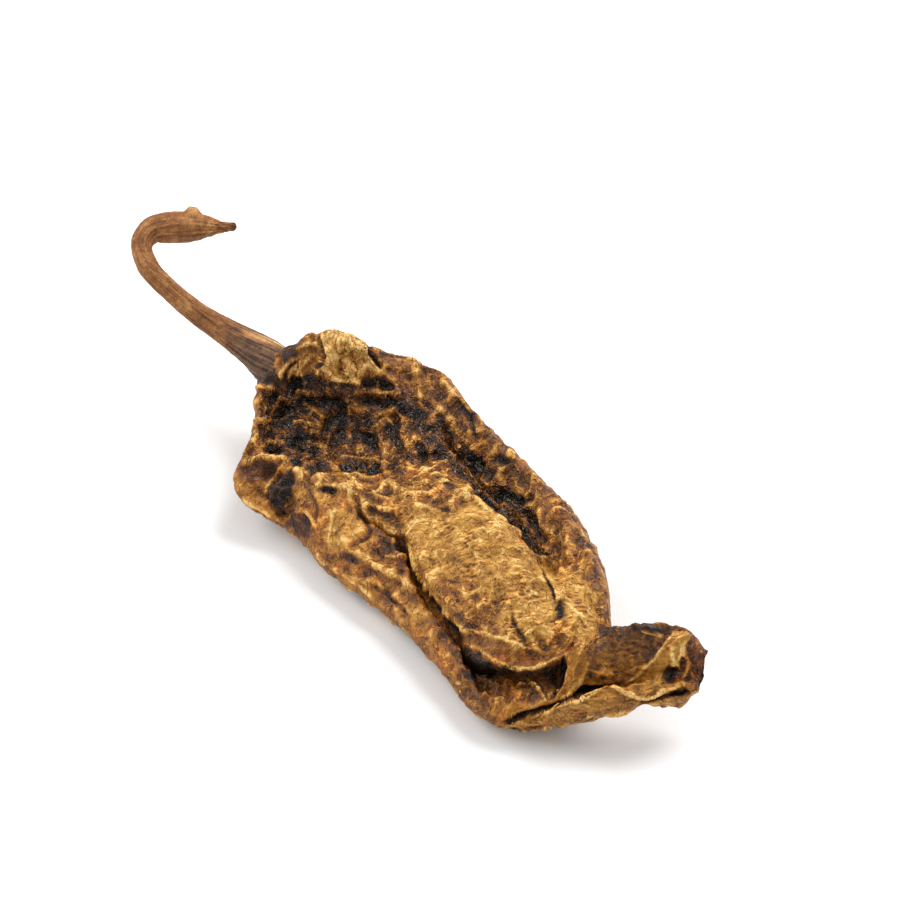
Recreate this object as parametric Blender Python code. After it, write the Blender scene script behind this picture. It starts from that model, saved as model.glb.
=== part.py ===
"""Dried chipotle pepper: a smoke-dried pod that lies on its belly, with its blossom end folded to one side.

The pod is one solid with a hooked woody stem as the second. +X runs along the pod from the stem to the fold,
+Z is up, and the origin is the middle of the small flat spot that the pod rests on.
Lists of points are in millimetres, and MM turns them into metres.
"""

import math

import bmesh
import bpy
import numpy as np
from mathutils import Vector

MM = 0.001

# The pod is a loft through these cross-sections, stem end first. Each has a place along the pod, its near
# edge and far edge (x, y, z), the height of the upper skin a quarter, half and three quarters of the way from
# the far edge to the near one, and the height of the lower skin at the same three places.
SECTIONS = (
    (0.0, (-30.8, -3.9, 7.0), (-30.6, 0.8, 7.8), (9.6, 10.0, 9.3), (5.0, 4.6, 4.8)),
    (1.4, (-29.7, -4.8, 6.2), (-29.8, 2.0, 8.4), (11.2, 10.7, 8.8), (4.0, 3.4, 3.8)),
    (3.6, (-27.6, -6.2, 5.8), (-28.0, 4.4, 8.8), (12.2, 9.8, 6.6), (2.6, 2.0, 2.6)),
    (7.0, (-25.1, -8.9, 5.6), (-24.6, 6.8, 8.8), (12.2, 7.2, 5.4), (1.6, 1.0, 1.7)),
    (10.0, (-22.8, -12.4, 5.6), (-21.0, 10.2, 8.6), (10.2, 5.6, 5.6), (1.2, 0.5, 1.4)),
    (12.6, (-20.4, -14.4, 4.8), (-17.6, 11.6, 8.2), (9.0, 5.2, 6.2), (1.0, 0.2, 1.0)),
    (15.4, (-17.2, -13.4, 3.8), (-14.2, 12.0, 7.6), (8.5, 5.6, 6.8), (0.9, 0.0, 0.7)),
    (18.6, (-13.8, -12.2, 3.2), (-10.6, 11.7, 7.2), (8.2, 6.4, 7.4), (0.9, -0.1, 0.5)),
    (25.0, (-7.2, -12.2, 2.6), (-4.6, 11.7, 6.6), (8.0, 8.8, 7.4), (0.9, -0.2, 0.3)),
    (32.0, (1.0, -11.2, 2.8), (2.4, 11.9, 6.2), (8.2, 10.4, 8.0), (0.9, -0.2, 0.3)),
    (38.6, (8.4, -11.2, 2.8), (9.0, 10.8, 6.0), (8.8, 10.8, 8.2), (0.9, -0.1, 0.3)),
    (44.4, (14.4, -11.7, 2.8), (14.6, 8.8, 6.0), (9.0, 9.8, 7.6), (1.1, 0.1, 0.5)),
    (48.2, (17.6, -12.1, 2.6), (18.4, 6.3, 6.2), (8.8, 8.4, 6.8), (1.5, 0.4, 0.7)),
    (51.4, (20.4, -11.8, 2.6), (21.4, 3.9, 6.6), (8.2, 7.0, 6.0), (2.4, 0.9, 0.8)),
    (54.4, (23.0, -10.4, 2.6), (23.2, 2.4, 7.8), (8.2, 6.0, 4.8), (3.4, 1.4, 1.2)),
    (57.4, (25.7, -7.5, 3.6), (24.6, 2.3, 10.2), (9.4, 5.8, 4.8), (4.8, 2.8, 2.4)),
    (60.6, (28.4, -3.8, 5.3), (26.2, 3.7, 11.4), (9.8, 6.4, 6.2), (5.6, 3.9, 3.7)),
    (64.0, (31.2, 0.1, 6.2), (28.4, 5.9, 11.8), (10.2, 7.2, 7.1), (6.2, 4.9, 4.7)),
    (67.2, (33.2, 3.6, 6.6), (30.3, 7.1, 11.2), (10.4, 8.2, 7.4), (7.0, 5.4, 4.8)),
    (69.0, (33.5, 5.4, 7.4), (32.0, 7.8, 9.4), (9.4, 8.6, 8.0), (8.0, 6.9, 6.4)),
)
ROWS = 112
UPPER_STEPS = 26
LOWER_STEPS = 18

# Folds raised from the upper skin, or pressed into it where the height is negative:
# height, half width and the line that the fold follows (x, y).
FOLDS = {
    "pleat over the stem seat": (0.9, 0.7, ((-29.2, -4.4), (-28.6, -2.2), (-28.3, 0.4), (-28.2, 2.8))),
    "near edge of the shoulder": (1.3, 0.9, ((-29.6, -4.6), (-27.6, -5.8), (-25.4, -7.6), (-23.4, -10.4))),
    "far side roll": (
        1.5, 1.5,
        (
            (-21.6, 8.2), (-18.0, 10.4), (-13.1, 11.0), (-5.8, 10.2),
            (3.8, 9.8), (11.0, 8.0), (17.4, 5.4), (21.0, 2.6),
        ),
    ),
    "groove inside the far roll": (
        -2.3, 1.3,
        ((-13.4, 8.4), (-8.4, 7.2), (-2.6, 6.6), (3.0, 6.6), (8.0, 5.6), (11.6, 4.0), (15.0, 2.8)),
    ),
    "upper border of the panel": (
        0.9, 0.9,
        ((-16.3, -9.1), (-12.3, -7.3), (-8.4, -5.6), (-4.4, -4.6), (-1.4, -1.4), (1.0, 1.8), (5.6, 3.1)),
    ),
    "edge of the panel over the crack": (
        0.8, 0.8,
        ((-2.0, -4.6), (1.8, -6.2), (6.0, -7.4), (10.4, -7.8), (13.6, -8.4)),
    ),
    "crack beside the panel": (
        -3.2, 0.8,
        (
            (-8.9, -7.1), (-4.8, -6.2), (-1.6, -6.1), (1.6, -7.4),
            (6.0, -8.6), (10.6, -9.1), (14.4, -10.0), (16.4, -11.2),
        ),
    ),
    "rib of the near lobe": (0.9, 0.5, ((-19.3, -8.2), (-18.2, -10.1), (-17.3, -12.0), (-16.4, -13.4))),
    "edge of the near lobe": (1.3, 0.6, ((-22.6, -12.2), (-21.1, -10.2), (-18.6, -9.0), (-16.3, -9.1))),
    "fold under the panel's front lip": (
        -0.5, 0.6,
        ((14.4, -9.0), (16.6, -8.1), (18.6, -6.7), (20.2, -4.6), (20.8, -2.6)),
    ),
    "notch behind the near lobe": (-1.8, 1.0, ((-14.2, -13.4), (-15.4, -11.6), (-16.0, -9.8))),
    "bend of the folded end": (1.7, 0.9, ((22.0, -1.4), (24.2, -3.0), (25.4, -4.8), (25.4, -6.8))),
    "crease of the folded end": (
        -1.7, 0.7,
        ((21.8, -10.6), (24.0, -7.0), (25.2, -4.2), (26.6, -1.6), (28.4, 1.2), (30.2, 3.2)),
    ),
    "slanting fold of the flap": (1.1, 0.8, ((30.8, 7.2), (30.2, 4.8), (29.4, 2.6), (27.8, 0.4))),
    "near wall of the folded end": (
        1.1, 0.8,
        ((24.0, -8.8), (26.1, -5.8), (27.4, -3.0), (29.0, -0.6), (31.2, 2.0), (32.8, 4.6)),
    ),
}

# Rounded lumps and dents of the upper skin: height, centre (x, y), half lengths (along, across) and turn in
# degrees.
LUMPS = {
    "crumpled lump on the far shoulder": (2.3, (-23.9, 3.2), (3.4, 2.5), 12.0),
    "sunken hollow behind the shoulder": (-1.6, (-18.8, 1.0), (6.6, 5.4), -8.0),
    "dish in the near lobe": (-1.6, (-18.4, -10.9), (1.7, 2.4), 20.0),
    "lump on the near flank": (1.0, (-9.4, -9.2), (3.2, 1.7), 8.0),
    "crown of the panel": (0.8, (8.4, -3.2), (9.4, 4.2), -14.0),
    "second panel": (0.8, (17.4, 1.4), (3.6, 2.4), -30.0),
}

# The open hollow in front of the panel's lip: its outline (x, y), how wide its edge is, and its floor, which
# rises along x between two places from the first height to the second.
HOLLOW_OUTLINE = (
    (14.0, -10.0), (16.4, -9.5), (18.6, -8.4), (20.4, -6.8), (21.4, -5.0), (22.0, -3.0),
    (23.6, -4.8), (23.6, -7.4), (21.6, -9.8), (18.0, -11.0),
)
HOLLOW_FLOOR = (2.7, 4.2)
HOLLOW_FLOOR_SPAN = (16.5, 22.0)
HOLLOW_EDGE = 0.6

# The raised net of wrinkles that covers the whole skin: its height above and below, and the lines' spacing.
NET_HEIGHT = 0.55
NET_HEIGHT_BELOW = 0.7
NET_SPACING = 4.6

# The stem's centre line (x, y, z) and its radius there, from the seat in the pod to the hook's broken end.
STEM_ROUTE = (
    ((-29.6, -1.3, 8.1), 2.25),
    ((-31.3, -1.5, 8.5), 2.35),
    ((-33.9, -2.1, 9.0), 2.00),
    ((-36.9, -3.05, 9.6), 1.55),
    ((-40.6, -4.65, 10.9), 1.26),
    ((-44.2, -6.05, 12.8), 1.12),
    ((-47.3, -6.7, 14.6), 1.15),
    ((-49.6, -5.8, 16.0), 1.22),
    ((-50.1, -4.0, 16.45), 1.50),
    ((-49.2, -2.4, 16.6), 1.72),
    ((-47.8, -0.9, 16.85), 1.70),
    ((-46.6, 0.5, 17.0), 1.35),
    ((-45.6, 1.7, 17.0), 0.80),
    ((-44.8, 2.8, 17.0), 0.42),
    ((-44.3, 3.5, 17.0), 0.40),
)
STEM_RIBS = 9
STEM_RIB_DEPTH = 0.09
STEM_SEAT_GAP = 0.3
STEM_SEAT_DEPTH = 1.6
STEM_KNOB_PLACE = (-48.1, 0.3, 18.4)
STEM_KNOB_RADIUS = 0.75

POD_COLOUR = (0.330, 0.150, 0.045, 1.0)
STEM_COLOUR = (0.230, 0.120, 0.055, 1.0)


def clear_scene():
    """Empty the file of its objects, so that a second run starts the same way."""
    for old in list(bpy.data.objects):
        bpy.data.objects.remove(old, do_unlink=True)


def new_collection(name):
    collection = bpy.data.collections.get(name) or bpy.data.collections.new(name)
    if collection.name not in bpy.context.scene.collection.children:
        bpy.context.scene.collection.children.link(collection)
    return collection


def new_material(name, colour, roughness):
    material = bpy.data.materials.new(name)
    material.use_nodes = True
    shader = material.node_tree.nodes["Principled BSDF"]
    shader.inputs["Base Color"].default_value = colour
    shader.inputs["Roughness"].default_value = roughness
    shader.inputs["Metallic"].default_value = 0.0
    return material


def smooth_step(value):
    value = np.clip(value, 0.0, 1.0)
    return value * value * (3.0 - 2.0 * value)


def curve_through(knots, values, places):
    """Read a smooth curve through values at knots: a cubic in each span, with slopes from the neighbours."""
    slopes = np.gradient(values, knots, axis=0)
    span = np.clip(np.searchsorted(knots, places, side="right") - 1, 0, len(knots) - 2)
    width = knots[span + 1] - knots[span]
    part = (places - knots[span]) / width
    shape = (-1,) + (1,) * (values.ndim - 1)
    part, width = part.reshape(shape), width.reshape(shape)
    start = (1.0 + 2.0 * part) * (1.0 - part) ** 2 * values[span]
    end = part * part * (3.0 - 2.0 * part) * values[span + 1]
    leave = part * (1.0 - part) ** 2 * width * slopes[span]
    arrive = part * part * (part - 1.0) * width * slopes[span + 1]
    return start + end + leave + arrive


def distance_to_line(x, y, line):
    """Distance in plan from each point to an open line, and how far along it, 0 to 1, the nearest place is."""
    line = np.asarray(line, float)
    knots = np.concatenate([[0.0], np.cumsum(np.hypot(*np.diff(line, axis=0).T))])
    fine = curve_through(knots, line, np.linspace(0.0, knots[-1], 4 * len(line)))
    best = np.full(x.shape, np.inf)
    along = np.zeros(x.shape)
    for index in range(len(fine) - 1):
        start, run = fine[index], fine[index + 1] - fine[index]
        part = np.clip(((x - start[0]) * run[0] + (y - start[1]) * run[1]) / (run @ run), 0.0, 1.0)
        distance = np.hypot(x - start[0] - part * run[0], y - start[1] - part * run[1])
        closer = distance < best
        best = np.where(closer, distance, best)
        along = np.where(closer, (index + part) / (len(fine) - 1), along)
    return best, along


def inside_outline(x, y, outline):
    """Distance in plan from each point to a closed outline, positive inside it."""
    outline = np.asarray(outline, float)
    best = np.full(x.shape, np.inf)
    inside = np.zeros(x.shape, bool)
    for start, end in zip(outline, np.roll(outline, -1, axis=0)):
        run = end - start
        part = np.clip(((x - start[0]) * run[0] + (y - start[1]) * run[1]) / (run @ run), 0.0, 1.0)
        best = np.minimum(best, np.hypot(x - start[0] - part * run[0], y - start[1] - part * run[1]))
        crosses = (start[1] > y) != (end[1] > y)
        rise = run[1] if run[1] else 1.0
        inside ^= crosses & (x < start[0] + (y - start[1]) * run[0] / rise)
    return np.where(inside, best, -best)


def fold_height(x, y):
    """Sum of the named folds: a bell across each line, fading out over its two ends."""
    total = np.zeros(x.shape)
    for height, half_width, line in FOLDS.values():
        distance, along = distance_to_line(x, y, line)
        fade = smooth_step(along / 0.12) * smooth_step((1.0 - along) / 0.12)
        total += height * fade * np.exp(-((distance / half_width) ** 2))
    return total


def lump_height(x, y):
    """Sum of the named lumps and dents: a round bell stretched along a turned axis."""
    total = np.zeros(x.shape)
    for height, centre, half, turn in LUMPS.values():
        cos, sin = math.cos(math.radians(turn)), math.sin(math.radians(turn))
        along = ((x - centre[0]) * cos + (y - centre[1]) * sin) / half[0]
        across = (-(x - centre[0]) * sin + (y - centre[1]) * cos) / half[1]
        total += height * np.exp(-((along * along + across * across) ** 1.5))
    return total


def net_height(along, around):
    """Raised net: three families of wavy lines, of which the highest counts at each place."""
    bent_along = along + 1.1 * np.sin(0.62 * around + 0.21 * along)
    bent_around = around + 1.3 * np.sin(0.47 * along + 0.35 * around)
    net = np.zeros(np.broadcast(along, around).shape)
    for turn, spacing in ((12.0, 1.0), (78.0, 1.25), (131.0, 1.1)):
        cos, sin = math.cos(math.radians(turn)), math.sin(math.radians(turn))
        stripe = (bent_along * cos + bent_around * sin) / (NET_SPACING * spacing)
        net = np.maximum(net, 1.0 - np.abs(np.sin(math.pi * stripe)))
    return net ** 2


def pod_rows(row_count, upper_steps, lower_steps):
    """Work out the pod's points as rows (along) of rings (around, from the far edge over the top)."""
    knots = np.array([section[0] for section in SECTIONS])
    near = np.array([section[1] for section in SECTIONS])
    far = np.array([section[2] for section in SECTIONS])
    top = np.array([section[3] for section in SECTIONS])
    low = np.array([section[4] for section in SECTIONS])

    places = np.linspace(knots[0], knots[-1], row_count)
    near, far = curve_through(knots, near, places), curve_through(knots, far, places)
    top, low = curve_through(knots, top, places), curve_through(knots, low, places)

    turns = np.concatenate([
        np.linspace(0.0, 180.0, upper_steps, endpoint=False),
        np.linspace(180.0, 360.0, lower_steps, endpoint=False),
    ])
    ring_knots = np.array([-60.0, 0.0, 60.0, 90.0, 120.0, 180.0, 240.0, 270.0, 300.0, 360.0, 420.0])
    heights = np.stack([
        low[:, 0], far[:, 2], top[:, 0], top[:, 1], top[:, 2],
        near[:, 2], low[:, 2], low[:, 1], low[:, 0], far[:, 2], top[:, 0],
    ])
    z = curve_through(ring_knots, heights, turns).T

    across = (1.0 - np.cos(np.radians(turns))) / 2.0
    x = far[:, :1] + (near[:, :1] - far[:, :1]) * across
    y = far[:, 1:2] + (near[:, 1:2] - far[:, 1:2]) * across

    upper = smooth_step(np.sin(np.radians(turns)) / 0.45)
    lower = smooth_step(-np.sin(np.radians(turns)) / 0.45)
    width = np.hypot(near[:, 0] - far[:, 0], near[:, 1] - far[:, 1])[:, None]
    around = width * np.radians(turns) / 2.0
    net = net_height(places[:, None], around) - 0.4

    z = z + upper * (fold_height(x, y) + lump_height(x, y))
    hollow = smooth_step(0.5 + inside_outline(x, y, HOLLOW_OUTLINE) / HOLLOW_EDGE) * upper
    floor = np.interp(x, HOLLOW_FLOOR_SPAN, HOLLOW_FLOOR)
    z = z + hollow * (floor - z)
    z = z + net * (NET_HEIGHT * upper - NET_HEIGHT_BELOW * lower)
    z = np.maximum(z, 0.0)
    return np.stack([x, y, z], axis=-1)


def pod_mesh():
    """Skin the rows with quads, and close both ends with a fan."""
    rows = pod_rows(ROWS, UPPER_STEPS, LOWER_STEPS)
    count, ring = rows.shape[:2]
    shape = bmesh.new()
    grid = [[shape.verts.new(Vector(point) * MM) for point in row] for row in rows]
    for row in range(count - 1):
        for step in range(ring):
            beside = (step + 1) % ring
            corners = (grid[row][step], grid[row + 1][step], grid[row + 1][beside], grid[row][beside])
            shape.faces.new(corners)
    for row in (0, count - 1):
        middle = shape.verts.new(Vector(rows[row].mean(axis=0)) * MM)
        for step in range(ring):
            shape.faces.new((middle, grid[row][step], grid[row][(step + 1) % ring]))
    bmesh.ops.triangulate(shape, faces=shape.faces[:])
    bmesh.ops.recalc_face_normals(shape, faces=shape.faces[:])
    mesh = bpy.data.meshes.new("pod")
    shape.to_mesh(mesh)
    shape.free()
    return mesh


def make_pod(parts):
    pod = bpy.data.objects.new("pod", pod_mesh())
    pod.data.materials.append(new_material("pod skin", POD_COLOUR, 0.55))
    parts.objects.link(pod)
    pod.data.shade_smooth()
    return pod


def ribbed_outline(guides):
    """The stem's cross-section of unit radius: a circle with shallow ribs, used as the curve's bevel."""
    curve = bpy.data.curves.new("stem outline", "CURVE")
    curve.dimensions = "2D"
    line = curve.splines.new("POLY")
    count = STEM_RIBS * 2
    line.points.add(count - 1)
    for index, point in enumerate(line.points):
        turn = 2.0 * math.pi * index / count
        radius = (1.0 + STEM_RIB_DEPTH * (1 if index % 2 else -1)) * MM
        point.co = (radius * math.cos(turn), radius * math.sin(turn), 0.0, 1.0)
    line.use_cyclic_u = True
    outline = bpy.data.objects.new("stem outline", curve)
    outline.hide_render = True
    outline.display_type = "WIRE"
    guides.objects.link(outline)
    return outline


def make_stem(parts, guides):
    """Sweep the ribbed outline along the hooked route, then fuse the little knob to the hook's end."""
    curve = bpy.data.curves.new("stem", "CURVE")
    curve.dimensions = "3D"
    curve.bevel_mode = "OBJECT"
    curve.bevel_object = ribbed_outline(guides)
    curve.use_fill_caps = True
    points = np.array([place for place, _ in STEM_ROUTE])
    radii = np.array([radius for _, radius in STEM_ROUTE])
    knots = np.concatenate([[0.0], np.cumsum(np.linalg.norm(np.diff(points, axis=0), axis=1))])
    places = np.linspace(0.0, knots[-1], 44)
    line = curve.splines.new("POLY")
    line.points.add(len(places) - 1)
    for point, place, radius in zip(
        line.points, curve_through(knots, points, places), curve_through(knots, radii, places)
    ):
        point.co = (*(place * MM), 1.0)
        point.radius = radius
    swept = bpy.data.objects.new("stem sweep", curve)
    parts.objects.link(swept)

    bpy.context.view_layer.update()
    evaluated = swept.evaluated_get(bpy.context.evaluated_depsgraph_get())
    stem = bpy.data.objects.new("stem", bpy.data.meshes.new_from_object(evaluated))
    stem.matrix_world = swept.matrix_world.copy()
    parts.objects.link(stem)
    bpy.data.objects.remove(swept, do_unlink=True)

    shape = bmesh.new()
    shape.from_mesh(stem.data)
    bmesh.ops.remove_doubles(shape, verts=shape.verts[:], dist=0.01 * MM)
    bmesh.ops.triangulate(shape, faces=shape.faces[:])
    bmesh.ops.recalc_face_normals(shape, faces=shape.faces[:])
    shape.to_mesh(stem.data)
    shape.free()
    stem.data.materials.clear()
    stem.data.materials.append(new_material("stem wood", STEM_COLOUR, 0.65))
    stem.data.shade_smooth()

    bpy.ops.mesh.primitive_uv_sphere_add(
        segments=12, ring_count=8, radius=STEM_KNOB_RADIUS * MM, location=Vector(STEM_KNOB_PLACE) * MM
    )
    knob = bpy.context.object
    move_to(knob, guides)
    join = stem.modifiers.new("knob", "BOOLEAN")
    join.operation = "UNION"
    join.object = knob
    return stem


def move_to(guide, guides):
    """Keep a cutter or helper out of the parts: in the guides collection, drawn as wire and not rendered."""
    for collection in list(guide.users_collection):
        collection.objects.unlink(guide)
    guides.objects.link(guide)
    guide.hide_render = True
    guide.display_type = "WIRE"


def cut_stem_seat(pod, guides):
    """Cut the shallow seat in the pod's shoulder that the flared end of the stem sits in."""
    inner = Vector(STEM_ROUTE[0][0])
    outer = Vector(STEM_ROUTE[1][0])
    axis = (outer - inner).normalized()
    length = STEM_SEAT_DEPTH + 4.0
    middle = inner - axis * STEM_SEAT_GAP + axis * (length / 2.0)
    bpy.ops.mesh.primitive_cylinder_add(
        vertices=24, radius=(STEM_ROUTE[0][1] * (1.0 + STEM_RIB_DEPTH) + STEM_SEAT_GAP) * MM,
        depth=length * MM, location=middle * MM, rotation=axis.to_track_quat("Z", "Y").to_euler(),
    )
    cutter = bpy.context.object
    cutter.name = "stem seat cutter"
    move_to(cutter, guides)
    cut = pod.modifiers.new("stem seat", "BOOLEAN")
    cut.operation = "DIFFERENCE"
    cut.object = cutter


def main():
    clear_scene()
    parts = new_collection("dried chipotle pepper")
    guides = new_collection("guides")
    pod = make_pod(parts)
    make_stem(parts, guides)
    cut_stem_seat(pod, guides)


main()
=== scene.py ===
"""Dried chipotle pepper: the finished skin of a smoke-dried pod and its hooked woody stem.

Both pieces are surfaces worked out with numpy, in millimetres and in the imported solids' own frame. They
follow the same sections, folds and route as those solids. Fine relief and colour are then laid over them,
by where each place on the skin falls in the photograph.
"""

import logging
import math
from dataclasses import dataclass
from enum import Enum

import bpy
import numpy as np
from mathutils import Matrix, Vector


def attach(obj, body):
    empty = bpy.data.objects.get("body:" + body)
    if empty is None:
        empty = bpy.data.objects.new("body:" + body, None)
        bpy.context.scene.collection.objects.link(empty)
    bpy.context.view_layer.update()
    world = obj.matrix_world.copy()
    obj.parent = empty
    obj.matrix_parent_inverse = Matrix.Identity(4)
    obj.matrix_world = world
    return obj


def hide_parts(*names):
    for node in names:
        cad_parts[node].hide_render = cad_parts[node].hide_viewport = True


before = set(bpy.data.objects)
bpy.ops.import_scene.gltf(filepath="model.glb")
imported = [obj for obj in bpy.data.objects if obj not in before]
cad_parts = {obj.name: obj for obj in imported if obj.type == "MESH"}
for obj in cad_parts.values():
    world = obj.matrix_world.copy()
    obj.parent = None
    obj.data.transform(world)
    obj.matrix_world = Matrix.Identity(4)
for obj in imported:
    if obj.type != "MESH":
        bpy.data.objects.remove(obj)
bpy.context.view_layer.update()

log = logging.getLogger("chipotle")

MM = 0.001
Point2 = tuple[float, float]
Point3 = tuple[float, float, float]
Colour = tuple[float, float, float, float]
Socket = bpy.types.NodeSocket


class Node(Enum):
    """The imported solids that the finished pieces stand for."""

    POD = "pod"
    STEM = "stem"


# Shared maths

def smooth_step(value: np.ndarray) -> np.ndarray:
    """Ease from 0 to 1: 3v² − 2v³, held flat outside that range."""
    value = np.clip(value, 0.0, 1.0)
    return value * value * (3.0 - 2.0 * value)


def curve_through(knots: np.ndarray, values: np.ndarray, places: np.ndarray) -> np.ndarray:
    """Read a smooth curve through values at knots.

    Each span is a cubic whose end slopes are those of the neighbouring values.

    Args:
        knots: rising places where the values are known.
        values: one row of values for each knot.
        places: where to read the curve.

    Returns:
        One row of values for each place.
    """
    slopes = np.gradient(values, knots, axis=0)
    span = np.clip(np.searchsorted(knots, places, side="right") - 1, 0, len(knots) - 2)
    width = knots[span + 1] - knots[span]
    part = (places - knots[span]) / width
    shape = (-1,) + (1,) * (values.ndim - 1)
    part, width = part.reshape(shape), width.reshape(shape)
    start = (1.0 + 2.0 * part) * (1.0 - part) ** 2 * values[span]
    end = part * part * (3.0 - 2.0 * part) * values[span + 1]
    leave = part * (1.0 - part) ** 2 * width * slopes[span]
    arrive = part * part * (part - 1.0) * width * slopes[span + 1]
    return start + end + leave + arrive


def line_lengths(points: np.ndarray) -> np.ndarray:
    """Running length along a list of points, from 0."""
    return np.concatenate([[0.0], np.cumsum(np.linalg.norm(np.diff(points, axis=0), axis=1))])


def distance_to_line(x: np.ndarray, y: np.ndarray, line: tuple[Point2, ...]) -> tuple[np.ndarray, np.ndarray]:
    """Distance from each point to an open smooth line.

    Args:
        x: first coordinate of the points.
        y: second coordinate of the points.
        line: the points that the line runs through.

    Returns:
        The distance, and how far along the line, 0 to 1, the nearest place is.
    """
    points = np.asarray(line, float)
    knots = line_lengths(points)
    fine = curve_through(knots, points, np.linspace(0.0, knots[-1], 4 * len(points)))
    best = np.full(x.shape, np.inf)
    along = np.zeros(x.shape)
    for index in range(len(fine) - 1):
        start, run = fine[index], fine[index + 1] - fine[index]
        part = np.clip(((x - start[0]) * run[0] + (y - start[1]) * run[1]) / (run @ run), 0.0, 1.0)
        distance = np.hypot(x - start[0] - part * run[0], y - start[1] - part * run[1])
        closer = distance < best
        best = np.where(closer, distance, best)
        along = np.where(closer, (index + part) / (len(fine) - 1), along)
    return best, along


def inside_outline(x: np.ndarray, y: np.ndarray, outline: tuple[Point2, ...]) -> np.ndarray:
    """Distance from each point to a closed outline, positive inside it and negative outside.

    A point is inside if a ray from it to +x crosses the outline an odd number of times.
    """
    corners = np.asarray(outline, float)
    best = np.full(x.shape, np.inf)
    inside = np.zeros(x.shape, bool)
    for start, end in zip(corners, np.roll(corners, -1, axis=0)):
        run = end - start
        part = np.clip(((x - start[0]) * run[0] + (y - start[1]) * run[1]) / (run @ run), 0.0, 1.0)
        best = np.minimum(best, np.hypot(x - start[0] - part * run[0], y - start[1] - part * run[1]))
        crosses = (start[1] > y) != (end[1] > y)
        rise = run[1] if run[1] else 1.0
        inside ^= crosses & (x < start[0] + (y - start[1]) * run[0] / rise)
    return np.where(inside, best, -best)


RIDGES_MEAN = 0.35
DIMPLES_MEAN = 0.5


@dataclass(frozen=True)
class Grain:
    """Noise that is fixed in space: the same numbers each run, from a hash of whole-number corners."""

    seed: int

    def corner(self, i: np.ndarray, j: np.ndarray, k: np.ndarray) -> np.ndarray:
        """Hash a lattice corner into 32 well-mixed bits."""
        with np.errstate(over="ignore"):
            mixed = (
                i.astype(np.uint32) * np.uint32(374761393)
                + j.astype(np.uint32) * np.uint32(668265263)
                + k.astype(np.uint32) * np.uint32(2246822519)
                + np.uint32(self.seed * 97 + 11)
            )
            mixed = (mixed ^ (mixed >> np.uint32(15))) * np.uint32(2246822519)
            mixed = (mixed ^ (mixed >> np.uint32(13))) * np.uint32(3266489917)
            return mixed ^ (mixed >> np.uint32(16))

    def wave(self, points: np.ndarray) -> np.ndarray:
        """Gradient noise, about −1 to 1, with one lattice cell to each unit.

        Each corner has a slope in a hashed direction, and the eight slopes are blended with an eased weight.
        """
        base = np.floor(points)
        part = points - base
        ease = part ** 3 * (part * (part * 6.0 - 15.0) + 10.0)
        whole = base.astype(np.int64)
        total = np.zeros(points.shape[:-1])
        for di in (0, 1):
            for dj in (0, 1):
                for dk in (0, 1):
                    bits = self.corner(whole[..., 0] + di, whole[..., 1] + dj, whole[..., 2] + dk)
                    slope = (bits & 255) * (part[..., 0] - di)
                    slope = slope + ((bits >> 8) & 255) * (part[..., 1] - dj)
                    slope = slope + ((bits >> 16) & 255) * (part[..., 2] - dk)
                    slope = slope / 127.5 - (part - (di, dj, dk)).sum(axis=-1)
                    weight = ease[..., 0] if di else 1.0 - ease[..., 0]
                    weight = weight * (ease[..., 1] if dj else 1.0 - ease[..., 1])
                    weight = weight * (ease[..., 2] if dk else 1.0 - ease[..., 2])
                    total += weight * slope
        return total * 1.25

    def cloud(self, points: np.ndarray, octaves: int) -> np.ndarray:
        """Soft noise: waves of halving length and height added up."""
        total = np.zeros(points.shape[:-1])
        for octave in range(octaves):
            total += Grain(self.seed + octave).wave(points * 2.0 ** octave) * 0.5 ** octave
        return total

    def ridges(self, points: np.ndarray, octaves: int) -> np.ndarray:
        """Sharp creased ridges, 0 to 1: each octave is one minus the size of a wave, squared."""
        total = np.zeros(points.shape[:-1])
        weight = np.ones(points.shape[:-1])
        for octave in range(octaves):
            wave = Grain(self.seed + octave).wave(points * 2.03 ** octave)
            crest = (1.0 - np.minimum(np.abs(wave) * 1.7, 1.0)) ** 2
            total += weight * crest * 0.55 ** octave
            weight = np.clip(crest * 1.6, 0.0, 1.0)
        return total / sum(0.55 ** octave for octave in range(octaves))

    def dimples(self, points: np.ndarray) -> np.ndarray:
        """Distance to the nearest of scattered seeds: cone-shaped dimples between sharp raised walls."""
        base = np.floor(points)
        whole = base.astype(np.int64)
        part = points - base
        nearest = np.full(points.shape[:-1], 9.0)
        for di in (-1, 0, 1):
            for dj in (-1, 0, 1):
                for dk in (-1, 0, 1):
                    bits = self.corner(whole[..., 0] + di, whole[..., 1] + dj, whole[..., 2] + dk)
                    gap = (di + (bits & 255) / 255.0 - part[..., 0]) ** 2
                    gap = gap + (dj + ((bits >> 8) & 255) / 255.0 - part[..., 1]) ** 2
                    gap = gap + (dk + ((bits >> 16) & 255) / 255.0 - part[..., 2]) ** 2
                    nearest = np.minimum(nearest, gap)
        return np.sqrt(nearest)


# Point of view

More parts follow.
